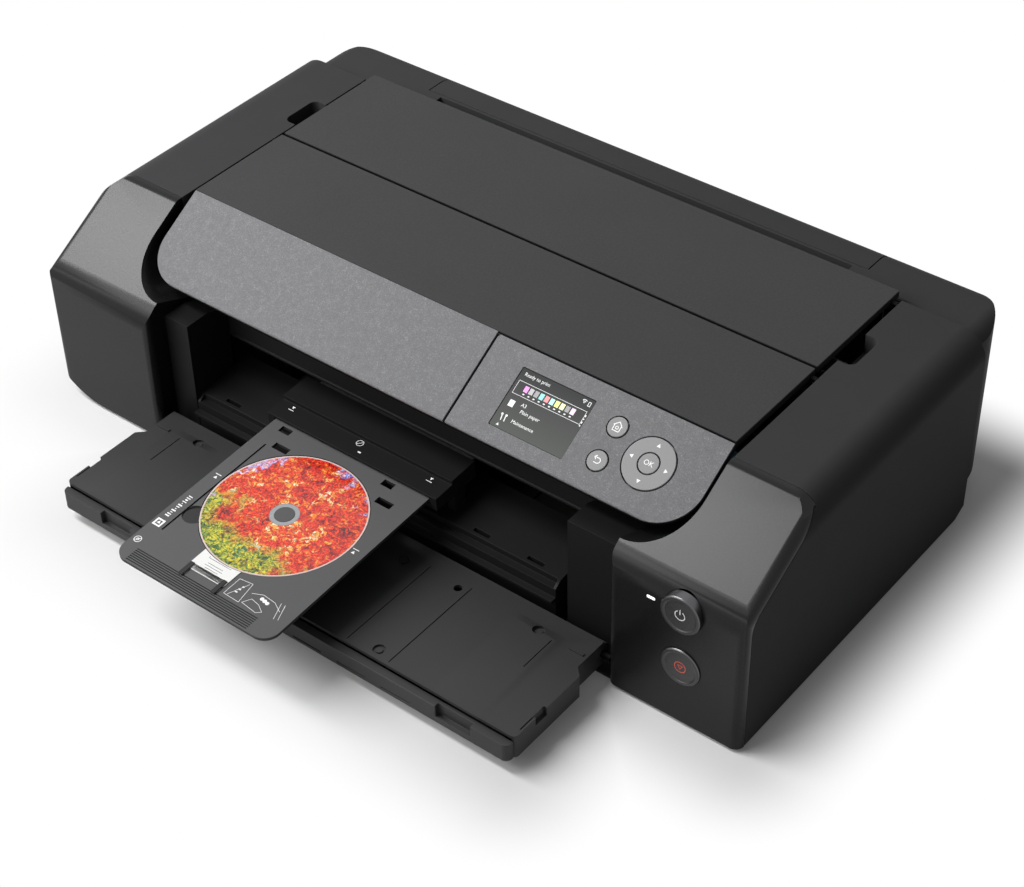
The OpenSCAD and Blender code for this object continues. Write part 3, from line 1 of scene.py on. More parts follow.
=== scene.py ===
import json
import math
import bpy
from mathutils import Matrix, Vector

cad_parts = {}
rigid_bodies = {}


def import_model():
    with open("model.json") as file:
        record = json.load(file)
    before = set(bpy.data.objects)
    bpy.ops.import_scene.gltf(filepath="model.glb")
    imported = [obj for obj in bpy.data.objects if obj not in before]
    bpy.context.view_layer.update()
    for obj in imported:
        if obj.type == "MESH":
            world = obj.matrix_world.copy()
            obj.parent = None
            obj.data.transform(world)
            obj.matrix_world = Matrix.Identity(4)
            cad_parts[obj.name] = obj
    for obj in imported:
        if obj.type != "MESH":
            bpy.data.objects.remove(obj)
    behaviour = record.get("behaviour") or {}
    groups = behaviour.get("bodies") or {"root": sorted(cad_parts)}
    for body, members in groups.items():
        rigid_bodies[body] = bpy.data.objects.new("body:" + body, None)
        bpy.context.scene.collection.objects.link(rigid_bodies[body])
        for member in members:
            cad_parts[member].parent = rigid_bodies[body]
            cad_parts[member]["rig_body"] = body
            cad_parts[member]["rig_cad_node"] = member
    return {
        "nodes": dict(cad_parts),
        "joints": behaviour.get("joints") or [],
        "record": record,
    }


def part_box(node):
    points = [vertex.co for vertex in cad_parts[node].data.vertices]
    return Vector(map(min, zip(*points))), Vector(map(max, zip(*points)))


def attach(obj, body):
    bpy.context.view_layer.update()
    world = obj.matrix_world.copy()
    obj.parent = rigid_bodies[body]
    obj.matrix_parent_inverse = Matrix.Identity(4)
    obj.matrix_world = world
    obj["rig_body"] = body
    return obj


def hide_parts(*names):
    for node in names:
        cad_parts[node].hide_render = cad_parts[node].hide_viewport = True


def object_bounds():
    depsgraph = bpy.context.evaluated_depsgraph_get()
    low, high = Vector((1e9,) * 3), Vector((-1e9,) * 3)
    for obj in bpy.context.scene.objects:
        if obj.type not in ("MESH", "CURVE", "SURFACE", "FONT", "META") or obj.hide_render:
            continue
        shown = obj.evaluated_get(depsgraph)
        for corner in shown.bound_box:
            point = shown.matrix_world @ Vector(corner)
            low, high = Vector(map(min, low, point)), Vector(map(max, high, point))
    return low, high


bl_info = {
    "name": "Inkjet photo printer",
    "version": (1, 0, 0),
    "blender": (4, 5, 0),
    "location": "View3D > Sidebar > Printer",
    "description": "Dresses the printer's solids with rounded edges, finishes and signs, on a plain stage",
    "category": "Object",
}

import bmesh
import bpy
from bpy.props import FloatProperty, FloatVectorProperty, PointerProperty
from mathutils import Matrix, Vector

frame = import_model()
CAD_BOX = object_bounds()
NODES = frame["nodes"]
SLOT_OF = {part["node"]: part["material_slot"] for part in frame["record"]["subparts"]}
BODY_OF = {
    node: body for body, members in frame["record"]["behaviour"]["bodies"].items() for node in members
}
AXIS_OF = {joint["name"]: Vector(joint["axis"]).normalized() for joint in frame["joints"]}
SLOPE_OUT = -AXIS_OF["home_press"]
FRONT_OUT = -AXIS_OF["power_press"]
TRAY_OUT = Vector((1, 0, 0)).cross(AXIS_OF["disc_tray_slide"])
MM = 0.001
SHARP = math.radians(35)  # an edge that turns more than this isn't part of a curve
FLAT = math.radians(0.4)  # faces that turn less than this lie in one plane
WELD = 0.004 * MM  # corners nearer than this are one corner
SQUARE_ON = 0.9995  # a face whose normal keeps this share of a direction looks that way
TANK_INKS = "c81e8c 8b8b8d 2d2d30 18a8d8 d02a24 7fd0e0 f0d21e f4eaa0 141416 f0b6d4".split()
SCREEN_INKS = "e445dc 8a8a8a 47484a 35d3d0 e2343c 8de4e2 f3ee2a e9efa0 3a3a3d f1c2ee".split()
INK_PITCH = 4.4  # millimetres from bar to bar on the display
FLOOR_RADIUS = 3.0
FLOOR_THICK = 0.02
PAINTED_SHADOW_REACH = 0.08  # how far from the printer the painted shadow on the floor reaches before the floor turns wholly white
PAINTED_SHADOW_WHITE = 0.05  # white share of the floor at the printer's foot, where the painted shadow is darkest


def tint(code):
    """A colour written as on a paint chart, such as 3a3a3c, as Blender's linear values."""
    parts = [int(code[k : k + 2], 16) / 255 for k in (0, 2, 4)]
    return tuple(p / 12.92 if p <= 0.04045 else ((p + 0.055) / 1.055) ** 2.4 for p in parts)


def shade(colour, factor):
    """A colour made darker or lighter by a factor."""
    return tuple(min(1.0, factor * part) for part in colour)


def chart(*stops):
    """Stops of a colour ramp, from places and colour codes."""
    return [(place, tint(code)) for place, code in stops]


def rgba(value):
    """A colour with its alpha; links and single values stay as they are."""
    return (*value, 1.0) if isinstance(value, tuple) else value


def turned(x, y, z):
    """The turn that carries the axes onto these three directions."""
    return Matrix((x, y, z)).transposed().to_4x4()


def swatch(name, description, code):
    """A colour that a user may change."""
    return FloatVectorProperty(
        name=name, description=description, default=tint(code), size=3, min=0.0, max=1.0, subtype="COLOR"
    )


def length(name, description, default):
    """A length that a user may change."""
    return FloatProperty(
        name=name, description=description, default=default, min=0.0, precision=5, unit="LENGTH"
    )


def lamp_power(name, description, default):
    """A lamp's power that a user may change."""
    return FloatProperty(name=name, description=description, default=default, min=0.0, unit="POWER")


def angle(name, description, degrees):
    """An angle that a user may change."""
    return FloatProperty(
        name=name, description=description, default=math.radians(degrees), subtype="ANGLE"
    )


class PrinterShape(bpy.types.PropertyGroup):
    """Roundings and thicknesses of the dressed pieces."""

    cover_edge: length("Cover edge", "Rounding of the outer covers' edges", 0.0006)
    panel_edge: length("Panel edge", "Rounding of the lid's panels and of the mouth's pieces", 0.0004)
    tray_edge: length("Tray edge", "Rounding of the trays' edges", 0.0004)
    key_edge: length("Key edge", "Rounding of the buttons' edges", 0.0003)
    sign_height: length("Sign height", "Thickness of the printed signs", 0.00006)


class PrinterColours(bpy.types.PropertyGroup):
    """Colours of the printer's finishes."""

    case: swatch("Case", "Sides, rear and base of the case", "3b3b3c")
    front: swatch("Front covers", "Satin front covers beside the mouth", "121213")
    lid: swatch("Lid", "Grained top of both lids", "373738")
    # Painted shade: the near-black colour laid on the lids' edges and underside
    lid_rim_shade: swatch("Lid rim", "Edges and underside of the lids", "0d0d0e")
    flake_low: swatch("Flake low", "Darker flakes of the silver panels", "58585a")
    flake_high: swatch("Flake high", "Brighter flakes of the silver panels", "939393")
    button: swatch("Buttons", "Panel buttons", "8a8a8b")
    key: swatch("Keys", "Faces of the two front keys", "2a2a2b")
    key_rim: swatch("Key rims", "Turned metal rims of the front keys", "5a5a5c")
    sign: swatch("Signs", "Light printed signs", "e6e6e5")
    alarm: swatch("Stop sign", "Sign of the stop key", "cf4f38")
    tray: swatch("Output tray", "Output tray and its extension", "29292a")
    disc_tray: swatch("Disc tray", "Disc tray", "4e4e4f")
    mouth: swatch("Mouth", "Guides and walls in the mouth", "161617")
    card: swatch("Card", "Card label of the disc tray", "dadad8")


class PrinterStage(bpy.types.PropertyGroup):
    """The floor, the lamps and the camera."""

    floor: swatch("Floor", "Colour of the floor", "cfcfcf")
    key_power: lamp_power("Key", "Power of the softbox", 32.0)
    card_power: lamp_power("Card", "Power of the upper front card", 12.0)
    fill_power: lamp_power("Fill", "Power of the top light", 2.0)
    ambient: FloatProperty(
        name="Ambient", description="Strength of the light from all around", default=0.14, min=0.0
    )
    eye: FloatVectorProperty(
        name="Eye",
        description="Place of the camera",
        default=(0.8350565, -0.969385, 1.1218368),
        subtype="TRANSLATION",
    )
    azimuth: angle("Azimuth", "Camera's turn", 38.95)
    elevation: angle("Elevation", "Camera's height", 40.31)
    roll: angle("Roll", "Camera's roll", -1.27)
    lens: FloatProperty(name="Lens", description="Focal length", default=79.26, subtype="DISTANCE_CAMERA")


class Channel:
    """A node's output that sums can be written on."""

    def __init__(self, finish, socket):
        self.finish = finish
        self.socket = socket

    def sum(self, operation, first, second):
        return self.finish.node("ShaderNodeMath", {"operation": operation}, {0: first, 1: second})

    def __add__(self, other):
        return self.sum("ADD", self, other)

    def __sub__(self, other):
        return self.sum("SUBTRACT", self, other)

    def __rsub__(self, other):
        return self.sum("SUBTRACT", other, self)

    def __mul__(self, other):
        return self.sum("MULTIPLY", self, other)

    def __pow__(self, other):
        return self.sum("POWER", self, other)

    def __gt__(self, other):
        return self.sum("GREATER_THAN", self, other)

    def __lt__(self, other):
        return self.sum("LESS_THAN", self, other)

    def __abs__(self):
        return self.sum("ABSOLUTE", self, 0.0)

    def at_least(self, other):
        return self.sum("MAXIMUM", self, other)

    def at_most(self, other):
        return self.sum("MINIMUM", self, other)


class Finish:
    """A procedural material, put together node by node."""

    def __init__(self, name, owner=None):
        self.material = owner or bpy.data.materials.new(name)
        self.material.use_nodes = True
        self.tree = self.material.node_tree
        self.tree.nodes.clear()

    def node(self, kind, settings=None, inputs=None, output=0):
        """Adds a node: its settings first, then the values or links of its sockets."""
        node = self.tree.nodes.new(kind)
        for key, value in (settings or {}).items():
            if key == "stops":
                self.set_stops(node.color_ramp, value)
            else:
                setattr(node, key, value)
        for key, value in (inputs or {}).items():
            if isinstance(value, Channel):
                self.tree.links.new(value.socket, node.inputs[key])
            else:
                node.inputs[key].default_value = value
        return Channel(self, node.outputs[output])

    @staticmethod
    def set_stops(ramp, stops):
        while len(ramp.elements) < len(stops):
            ramp.elements.new(1.0)
        for element, (place, colour) in zip(ramp.elements, stops):
            element.position = place
            element.color = (*colour, 1.0)

    def spot(self, centre=(0, 0, 0), turn=(0, 0, 0)):
        """Object coordinates with a point of the piece as their origin."""
        place = self.node("ShaderNodeTexCoord", output="Object")
        return self.node(
            "ShaderNodeMapping",
            {"vector_type": "TEXTURE"},
            {"Vector": place, "Location": centre, "Rotation": turn},
        )

    def swayed(self, spot, size, detail, reach):
        """Coordinates pushed about by soft noise, up to this many millimetres."""
        push = self.node(
            "ShaderNodeVectorMath",
            {"operation": "SCALE"},
            {0: self.noise(spot, size, detail, "Color"), "Scale": reach * MM},
        )
        return self.node("ShaderNodeVectorMath", {"operation": "ADD"}, {0: spot, 1: push})

    def axis(self, spot, name):
        return self.node("ShaderNodeSeparateXYZ", None, {0: spot}, name)

    def height_along(self, spot, direction):
        return self.node(
            "ShaderNodeVectorMath", {"operation": "DOT_PRODUCT"}, {0: spot, 1: direction}, "Value"
        )

    def noise(self, spot, size, detail, output="Fac"):
        """Soft noise whose blots are about this many millimetres across."""
        return self.node(
            "ShaderNodeTexNoise", None, {"Vector": spot, "Scale": 1 / (size * MM), "Detail": detail}, output
        )

    def cells(self, spot, size, output="Distance", feature="F1"):
        """Cells of about this many millimetres."""
        return self.node(
            "ShaderNodeTexVoronoi", {"feature": feature}, {"Vector": spot, "Scale": 1 / (size * MM)}, output
        )

    def chance(self, spot, size, part=0):
        """A value between 0 and 1 that each cell has by chance."""
        return self.node("ShaderNodeSeparateColor", None, {0: self.cells(spot, size, "Color")}, part)

    def wave(self, along, pitch):
        """A sine with this many millimetres from crest to crest."""
        return self.node("ShaderNodeMath", {"operation": "SINE"}, {0: along * (2 * math.pi / (pitch * MM))})

    def ramp(self, factor, stops, steps="LINEAR"):
        ramp = self.node("ShaderNodeValToRGB", {"stops": stops}, {0: factor})
        ramp.socket.node.color_ramp.interpolation = steps
        return ramp

    def stripes(self, spot, left, right, codes):
        """Colours side by side from left to right, all of one width."""
        share = self.band(self.axis(spot, "X"), left, right)
        return self.ramp(share, chart(*((k / len(codes), code) for k, code in enumerate(codes))), "CONSTANT")

    def band(self, factor, low, high, at_low=0.0, at_high=1.0):
        """A value carried from one range to another, held at its ends."""
        return self.node(
            "ShaderNodeMapRange",
            {"clamp": True},
            {"Value": factor, "From Min": low, "From Max": high, "To Min": at_low, "To Max": at_high},
        )

    def uneven(self, noise, low, high):
        """A roughness that follows a noise, whose values mostly lie between 0.3 and 0.7."""
        return self.band(noise, 0.3, 0.7, low, high)

    def mix(self, factor, low, high):
        """A colour between two."""
        return self.node(
            "ShaderNodeMix", {"data_type": "RGBA"}, {0: factor, 6: rgba(low), 7: rgba(high)}, output=2
        )

    def mottle(self, factor, colour, dark, light):
        """A colour that wanders between a darker and a lighter shade of itself."""
        return self.mix(factor, shade(colour, dark), shade(colour, light))

    def relief(self, height, depth):
        """A normal raised by a height between 0 and 1, this many millimetres deep."""
        return self.node("ShaderNodeBump", None, {"Height": height, "Distance": depth * MM, "Strength": 1.0})

    def surface(self, colour, roughness, normal=None, **sockets):
        """Closes the material with a Principled surface."""
        values = {"Base Color": rgba(colour), "Roughness": roughness}
        if normal is not None:
            values["Normal"] = normal
        for key, value in sockets.items():
            values[key.replace("_", " ")] = rgba(value)
        self.node_out(self.node("ShaderNodeBsdfPrincipled", None, values))
        return self.material

    def node_out(self, shader, kind="ShaderNodeOutputMaterial"):
        out = self.tree.nodes.new(kind)
        self.tree.links.new(shader.socket, out.inputs["Surface"])


def moulded(name, colour, grain, depth, roughness, gloss):
    """Moulded plastic with a fine eroded grain and slightly uneven shine."""
    f = Finish(name)
    spot = f.spot()
    fine = f.noise(spot, grain, 3.0)
    broad = f.noise(spot, 28.0, 2.0)
    tone = f.mottle(fine * 0.6 + broad * 0.4, colour, 0.86, 1.12)
    shine = f.uneven(fine, roughness - 0.06, roughness + 0.06)
    return f.surface(tone, shine, f.relief(fine, depth), Specular_IOR_Level=gloss)


def front_satin(c):
    """Satin black of the front covers: smooth, with a faint ripple of the paint."""
    f = Finish("front_black")
    spot = f.spot()
    ripple = f.noise(spot, 2.2, 2.0)
    speck = f.noise(spot, 0.35, 2.0)
    tone = f.mottle(speck, c.front, 0.9, 1.12)
    shine = f.uneven(speck, 0.25, 0.31)
    return f.surface(tone, shine, f.relief(ripple * 0.7 + speck * 0.3, 0.006), Specular_IOR_Level=0.205)


def lid_grain(c):
    """Dark lid with a leathery grain; its edges and underside are painted near black as shade."""
    f = Finish("lid_charcoal")
    spot = f.spot()
    pebble = f.cells(f.swayed(spot, 3.0, 2.0, 1.6), 1.5)
    fine = f.noise(spot, 0.7, 3.0)
    broad = f.noise(spot, 60.0, 2.0)
    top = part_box("top_cover")[1].z
    skin = f.band(f.axis(spot, "Z"), top - 1.2 * MM, top - 0.5 * MM)
    height = pebble * 0.5 + fine * 0.5
    grained = f.mottle(height * 0.8 + broad * 0.2, c.lid, 0.72, 1.3)
    # Painted shade: everything below the grained top, meaning edges and underside, takes the near-black rim
    # colour
    tone = f.mix(skin, tuple(c.lid_rim_shade), grained)
    shine = f.uneven(fine, 0.5, 0.62)
    return f.surface(tone, shine, f.relief(height, 0.16), Specular_IOR_Level=0.12)


def silver_flake(c):
    """Grey paint full of metal flakes that each catch the light their own way."""
    f = Finish("silver_flake")
    spot = f.spot()
    flake = f.chance(spot, 0.62)
    small = f.chance(spot, 0.34, 1)
    cloud = f.noise(spot, 5.0, 3.0)
    level = flake * 0.36 + small * 0.3 + cloud * 0.34
    tone = f.ramp(
        level,
        [(0.1, c.flake_low), *chart((0.36, "656567"), (0.62, "6c6c6e")), (0.9, c.flake_high)],
    )
    shine = f.band(flake, 0.0, 1.0, 0.5, 0.68)
    return f.surface(tone, shine, f.relief(level, 0.03), Metallic=0.05, Specular_IOR_Level=0.08)


def screen_glass():
    """Lit display under glass: grey, a little lighter towards its foot."""
    f = Finish("screen_glass")
    low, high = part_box("screen")
    spot = f.spot()
    rise = f.band(f.axis(spot, "Z"), low.z, high.z)
    fine = f.noise(spot, 0.3, 1.0)
    tone = f.ramp(rise * 0.96 + fine * 0.04, chart((0.0, "686b67"), (0.5, "5c5d5c"), (1.0, "484849")))
    return f.surface(
        tint("0c0d0d"),
        f.uneven(fine, 0.5, 0.6),
        Emission_Color=tone,
        Emission_Strength=0.95,
        Specular_IOR_Level=0.02,
    )


def button_silver(c):
    """Smooth silver lacquer of the panel's buttons."""
    f = Finish("button_silver")
    spot = f.spot()
    fine = f.noise(spot, 0.3, 2.0)
    tone = f.mottle(fine, c.button, 0.92, 1.06)
    return f.surface(tone, f.uneven(fine, 0.5, 0.58), f.relief(fine, 0.004), Specular_IOR_Level=0.15)


def key_face(c, name, node):
    """Front key with a face turned in fine rings and a bright metal rim."""
    f = Finish(name)
    low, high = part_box(node)
    spot = f.spot(((low.x + high.x) / 2, low.y, (low.z + high.z) / 2))
    reach = (f.axis(spot, "X") ** 2 + f.axis(spot, "Z") ** 2) ** 0.5
    rings = f.wave(reach, 0.55)
    grit = f.noise(spot, 0.5, 3.0)
    radius = (high.x - low.x) / 2
    rim = f.band(reach, radius - 0.75 * MM, radius - 0.55 * MM)
    face = f.mottle(rings * 0.25 + grit * 0.5 + 0.25, c.key, 0.7, 1.5)
    tone = f.mix(rim, face, tuple(c.key_rim))
    return f.surface(
        tone,
        f.uneven(grit, 0.26, 0.36),
        f.relief(rings * 0.5 + 0.5, 0.01),
        Metallic=f.band(rim, 0.0, 1.0, 0.15, 1.0),
    )


def disc_print():
    """Printed disc: scattered leaf colours in drifts, a grey hub ring and a clear rim."""
    f = Finish("disc_print")
    low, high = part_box("disc")
    tilt = AXIS_OF["disc_tray_slide"]
    spot = f.spot((low + high) / 2, (math.atan2(tilt.z, tilt.y), 0, 0))
    bent = f.swayed(spot, 7.0, 5.0, 9.0)
    leaf = f.chance(bent, 3.0)
    fleck = f.chance(bent, 1.3, 1)
    speck = f.noise(bent, 1.6, 5.0)
    clump = f.noise(bent, 11.0, 4.0)
    patch = f.noise(f.spot((0.31, 0.17, 0.05)), 24.0, 4.0)
    mood = f.band(leaf * 0.3 + fleck * 0.25 + clump * 0.9, 0.33, 1.05)
    warm = f.ramp(
        mood,
        chart(
            (0.04, "2a0a0a"),
            (0.2, "7d0f10"),
            (0.36, "d11a14"),
            (0.5, "ee4413"),
            (0.62, "c81c22"),
            (0.74, "f2791a"),
            (0.86, "f7b54a"),
            (0.97, "fff0d2"),
        ),
    )
    cool = f.ramp(
        mood,
        chart((0.1, "2b3f9a"), (0.35, "7d92e2"), (0.5, "d6cdf2"), (0.68, "c82440"), (0.9, "f3e6f4")),
    )
    green = f.ramp(
        mood,
        chart((0.1, "0a2112"), (0.34, "1d5a2c"), (0.5, "84992a"), (0.66, "e0cf2e"), (0.82, "2f7040")),
    )
    across = f.axis(spot, "X")
    up = f.axis(spot, "Y")
    drift = clump * 0.05 + patch * 0.06
    to_green = f.band(drift - across * 0.3 - up * 0.8, 0.072, 0.09)
    to_cool = f.band(drift + across * 0.5 + up * 0.75 - leaf * 0.012, 0.1, 0.106)
    to_cool = to_cool.at_least(f.band(drift - across * 0.9 + up * 0.5 - leaf * 0.014, 0.106, 0.112))
    tone = f.mix(to_cool, f.mix(to_green, warm, green), cool)
    tone = f.mix(f.band(speck, 0.34, 0.56, 0.75, 0.0), tone, tint("2a0d0a"))
    reach = (across ** 2 + up ** 2) ** 0.5
    tone = f.mix(reach > 58.9 * MM, tone, tint("c7b4b0"))
    tone = f.mix(reach < 11.0 * MM, tone, tint("8b8e90"))
    tone = f.mix(f.band(reach, 10.3 * MM, 11.0 * MM) * (reach < 11.0 * MM), tone, tint("6a6d6f"))
    return f.surface(tone, f.uneven(speck, 0.22, 0.3), Coat_Weight=0.3, Coat_Roughness=0.08)


def tray_plate(c):
    """Grey disc tray; painted shade darkens its recess and turns its grooves and finger hole black."""
    f = Finish("disc_tray_grey")
    spot = f.spot()
    fine = f.noise(spot, 0.4, 3.0)
    depth = level_of("disc_tray", TRAY_OUT) - f.height_along(spot, TRAY_OUT)
    face = f.mottle(fine, c.disc_tray, 0.88, 1.1)
    # Painted shade: whatever lies deeper than the tray's top face is darkened to a third of the tray's grey
    tone = f.mix(f.band(depth, 0.1 * MM, 0.35 * MM), face, shade(c.disc_tray, 0.3))
    return f.surface(tone, f.uneven(fine, 0.46, 0.56), f.relief(fine, 0.02), Specular_IOR_Level=0.2)


def label_card(c):
    """White card, and the dark hooks that stand above it."""
    f = Finish("label_card")
    spot = f.spot()
    fibre = f.noise(spot, 0.6, 4.0)
    card_top = level_of("tray_label", TRAY_OUT)
    hook = f.height_along(spot, TRAY_OUT) > card_top + 0.15 * MM
    card = f.mottle(fibre, c.card, 0.9, 1.0)
    tone = f.mix(hook, card, tuple(c.mouth))
    return f.surface(tone, f.uneven(fibre, 0.55, 0.7), f.relief(fibre, 0.01), Specular_IOR_Level=0.3)


def lamp_white():
    """Lit milky lamp."""
    f = Finish("lamp_white")
    fine = f.noise(f.spot(), 1.0, 2.0)
    glow = f.mix(fine, tint("e9e9e9"), tint("ffffff"))
    shine = f.uneven(fine, 0.3, 0.4)
    return f.surface(tint("e6e6e6"), shine, Emission_Color=glow, Emission_Strength=0.9)


def metal(name, colour, roughness, size, stretch):
    """Bare metal with the fine marks of rolling or turning."""
    f = Finish(name)
    place = f.node("ShaderNodeTexCoord", output="Object")
    drawn_out = (1.0 / stretch, 1.0, 1.0)
    spot = f.node("ShaderNodeMapping", {"vector_type": "POINT"}, {"Vector": place, "Scale": drawn_out})
    mark = f.noise(spot, size, 4.0)
    tone = f.mottle(mark, colour, 0.8, 1.1)
    shine = f.uneven(mark, roughness - 0.08, roughness + 0.08)
    return f.surface(tone, shine, f.relief(mark, 0.004), Metallic=1.0)


def galvanised(name):
    """Zinc-plated sheet with large pale crystals."""
    f = Finish(name)
    spot = f.spot()
    spangle = f.chance(spot, 7.0)
    fine = f.noise(spot, 0.8, 3.0)
    tone = f.mix(spangle * 0.6 + fine * 0.4, tint("8f9396"), tint("c3c6c8"))
    return f.surface(tone, f.band(spangle, 0.0, 1.0, 0.32, 0.5), f.relief(fine, 0.004), Metallic=1.0)


def circuit_board(name, ground, trace_tone):
    """Circuit board: coloured resist over copper traces."""
    f = Finish(name)
    spot = f.spot()
    trace = f.cells(spot, 3.2, "Distance", "DISTANCE_TO_EDGE")
    line = f.band(trace, 0.0002, 0.0005, 1.0, 0.0)
    pad = f.band(f.cells(spot, 2.4), 0.00045, 0.0006, 1.0, 0.0)
    tone = f.mix(line, ground, trace_tone)
    tone = f.mix(pad * 0.7, tone, tint("b79a55"))
    return f.surface(tone, f.band(line, 0.0, 1.0, 0.42, 0.3), f.relief(line * 0.5 + pad * 0.5, 0.03))


def felt_pad(name):
    """Absorbent felt with short crossed fibres."""
    f = Finish(name)
    spot = f.spot()
    fibre = f.noise(spot, 0.8, 6.0)
    tone = f.mix(fibre, tint("1d1d1c"), tint("2c2c2b"))
    return f.surface(tone, f.uneven(fibre, 0.85, 0.95), f.relief(fibre, 0.3), Specular_IOR_Level=0.1)


def tank_shells():
    """Black ink tanks, each with a colour band on the front of its top."""
    f = Finish("tank_shells")
    low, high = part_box("ink_tanks")
    spot = f.spot()
    ink = f.stripes(spot, low.x, high.x, TANK_INKS)
    fine = f.noise(spot, 0.5, 3.0)
    cap = (f.axis(spot, "Z") > high.z - 1.5 * MM) * (f.axis(spot, "Y") < low.y + 0.35 * (high.y - low.y))
    tone = f.mix(cap, f.mix(fine, tint("141415"), tint("1f1f21")), ink)
    return f.surface(tone, f.uneven(fine, 0.35, 0.45), f.relief(fine, 0.02))


def clear_strip(name):
    """Thin film ruled with fine dark lines."""
    f = Finish(name)
    spot = f.spot()
    rule = f.wave(f.axis(spot, "X"), 0.8)
    tone = f.mix(rule * 0.5 + 0.5, tint("3c3f42"), tint("b9bec2"))
    return f.surface(tone, f.band(rule, -1.0, 1.0, 0.15, 0.25), Alpha=0.8)


def printed(name, colour, glow=0.0):
    """Ink of a printed sign, slightly uneven."""
    f = Finish(name)
    fine = f.noise(f.spot(), 0.25, 2.0)
    tone = f.mottle(fine, colour, 0.93, 1.03)
    if glow:
        shine = f.uneven(fine, 0.3, 0.4)
        return f.surface(shade(colour, 0.1), shine, Emission_Color=tone, Emission_Strength=glow)
    return f.surface(tone, f.uneven(fine, 0.45, 0.55))


def ink_bars(middle):
    """Ink levels on the display: one colour for each bar, from left to right."""
    f = Finish("screen_inks")
    half = len(SCREEN_INKS) * INK_PITCH * MM / 2
    tone = f.stripes(f.spot(), middle - half, middle + half, SCREEN_INKS)
    return f.surface(tint("0c0d0d"), 0.3, Emission_Color=tone, Emission_Strength=1.0)


def finishes(c):
    """Every slot's material, made once."""
    plastics = {  # colour, size and depth of the grain in millimetres, roughness, gloss
        "case_black": (c.case, 0.5, 0.02, 0.5, 0.01),
        "tray_dark": (c.tray, 0.5, 0.03, 0.48, 0.3),
        "mouth_black": (c.mouth, 0.5, 0.03, 0.5, 0.1),
        "engine_plastic": (tint("1c1c1d"), 0.7, 0.04, 0.5, 0.12),
        "rubber": (tint("1a1a1b"), 0.3, 0.05, 0.75, 0.2),
        "gear_white": (tint("d9d7cf"), 0.6, 0.02, 0.42, 0.4),
        "pump_dark": (tint("232324"), 0.6, 0.03, 0.5, 0.2),
    }
    metals = {  # colour, roughness, size of the marks in millimetres, how far they are drawn out
        "pin_steel": (tint("131314"), 0.6, 0.8, 6.0),
        "brass": (tint("b8964e"), 0.3, 0.7, 1.0),
        "motor_steel": (tint("9ea1a3"), 0.38, 1.0, 4.0),
        "head_metal": (tint("8c8f92"), 0.34, 0.6, 3.0),
    }
    return {
        **{slot: moulded(slot, *values) for slot, values in plastics.items()},
        **{slot: metal(slot, *values) for slot, values in metals.items()},
        "front_black": front_satin(c),
        "lid_charcoal": lid_grain(c),
        "silver_flake": silver_flake(c),
        "screen_glass": screen_glass(),
        "button_silver": button_silver(c),
        "lamp_white": lamp_white(),
        "key_dark": key_face(c, "key_dark", "power_button"),
        "disc_tray_grey": tray_plate(c),
        "disc_print": disc_print(),
        "label_card": label_card(c),
        "sheet_steel": galvanised("sheet_steel"),
        "felt": felt_pad("felt"),
        "board_green": circuit_board("board_green", tint("0e3d22"), tint("1d6136")),
        "strip_film": clear_strip("strip_film"),
    }


def material(name):
    """A material made before, by its name."""
    return bpy.data.materials[name]


def wear(piece, finish):
    """Gives a piece this one material."""
    piece.data.materials.clear()
    piece.data.materials.append(finish)


def pick(*pieces):
    """Selects these pieces only, the last one active."""
    bpy.ops.object.select_all(action="DESELECT")
    for piece in pieces:
        piece.select_set(True)
    bpy.context.view_layer.objects.active = pieces[-1]


def apply(piece, kind, **settings):
    """Adds a modifier and applies it."""
    pick(piece)
    modifier = piece.modifiers.new(kind.title(), kind)
    for key, value in settings.items():
        setattr(modifier, key, value)
    bpy.ops.object.modifier_apply(modifier=modifier.name)


def soft_copy(node, width):
    """A copy of a solid that stands for it, with its sharp edges rounded where a width is given."""
    pick(NODES[node])
    bpy.ops.object.duplicate()
    piece = bpy.context.object
    piece.name = node + "_skin"
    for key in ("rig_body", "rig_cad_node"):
        del piece[key]
    bpy.ops.object.parent_clear(type="CLEAR_KEEP_TRANSFORM")
    bpy.ops.object.mode_set(mode="EDIT")
    bpy.ops.mesh.select_all(action="SELECT")
    bpy.ops.mesh.customdata_custom_splitnormals_clear()
    bpy.ops.mesh.remove_doubles(threshold=WELD)
    if width:
        bpy.ops.mesh.dissolve_limited(angle_limit=FLAT)
    bpy.ops.object.mode_set(mode="OBJECT")
    if width:
        apply(
            piece,
            "BEVEL",
            width=width,
            segments=2,
            limit_method="ANGLE",
            angle_limit=SHARP,
            use_clamp_overlap=False,
            miter_outer="MITER_ARC",
        )
    pick(piece)
    bpy.ops.object.shade_smooth_by_angle(angle=SHARP)
    apply(piece, "WEIGHTED_NORMAL", mode="FACE_AREA", weight=100, keep_sharp=True)
    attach(piece, BODY_OF[node])
    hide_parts(node)
    return piece


def level_of(node, out, low=-math.inf, high=math.inf):
    """Height along a direction of a solid's broadest face that looks that way."""
    return broad_face(node, out, low, high)[0]


def broad_face(node, out, low=-math.inf, high=math.inf):
    """A solid's broadest face along a direction, between two heights: its height, and its corners."""
    mesh = NODES[node].data
    faces = {}
    for face in mesh.polygons:
        level = round(face.center.dot(out), 5)
        if face.normal.dot(out) > SQUARE_ON and low < level < high:
            faces.setdefault(level, []).append(face)
    if not faces:
        raise RuntimeError(f"{node} has no flat face along {tuple(out)}")
    level = max(faces, key=lambda h: sum(face.area for face in faces[h]))
    return level, [mesh.vertices[i].co for face in faces[level] for i in face.vertices]


def seat_on(node, out):
    """Place on a solid's broadest face: X to the right, Y up the face, Z out of it."""
    across = Vector((1, 0, 0))
    up = out.cross(across)
    level, corners = broad_face(node, out)
    x = sum(f(p.x for p in corners) for f in (min, max)) / 2
    y = sum(f(p.dot(up) for p in corners) for f in (min, max)) / 2
    return Matrix.Translation(across * x + up * y + out * level) @ turned(across, up, out)


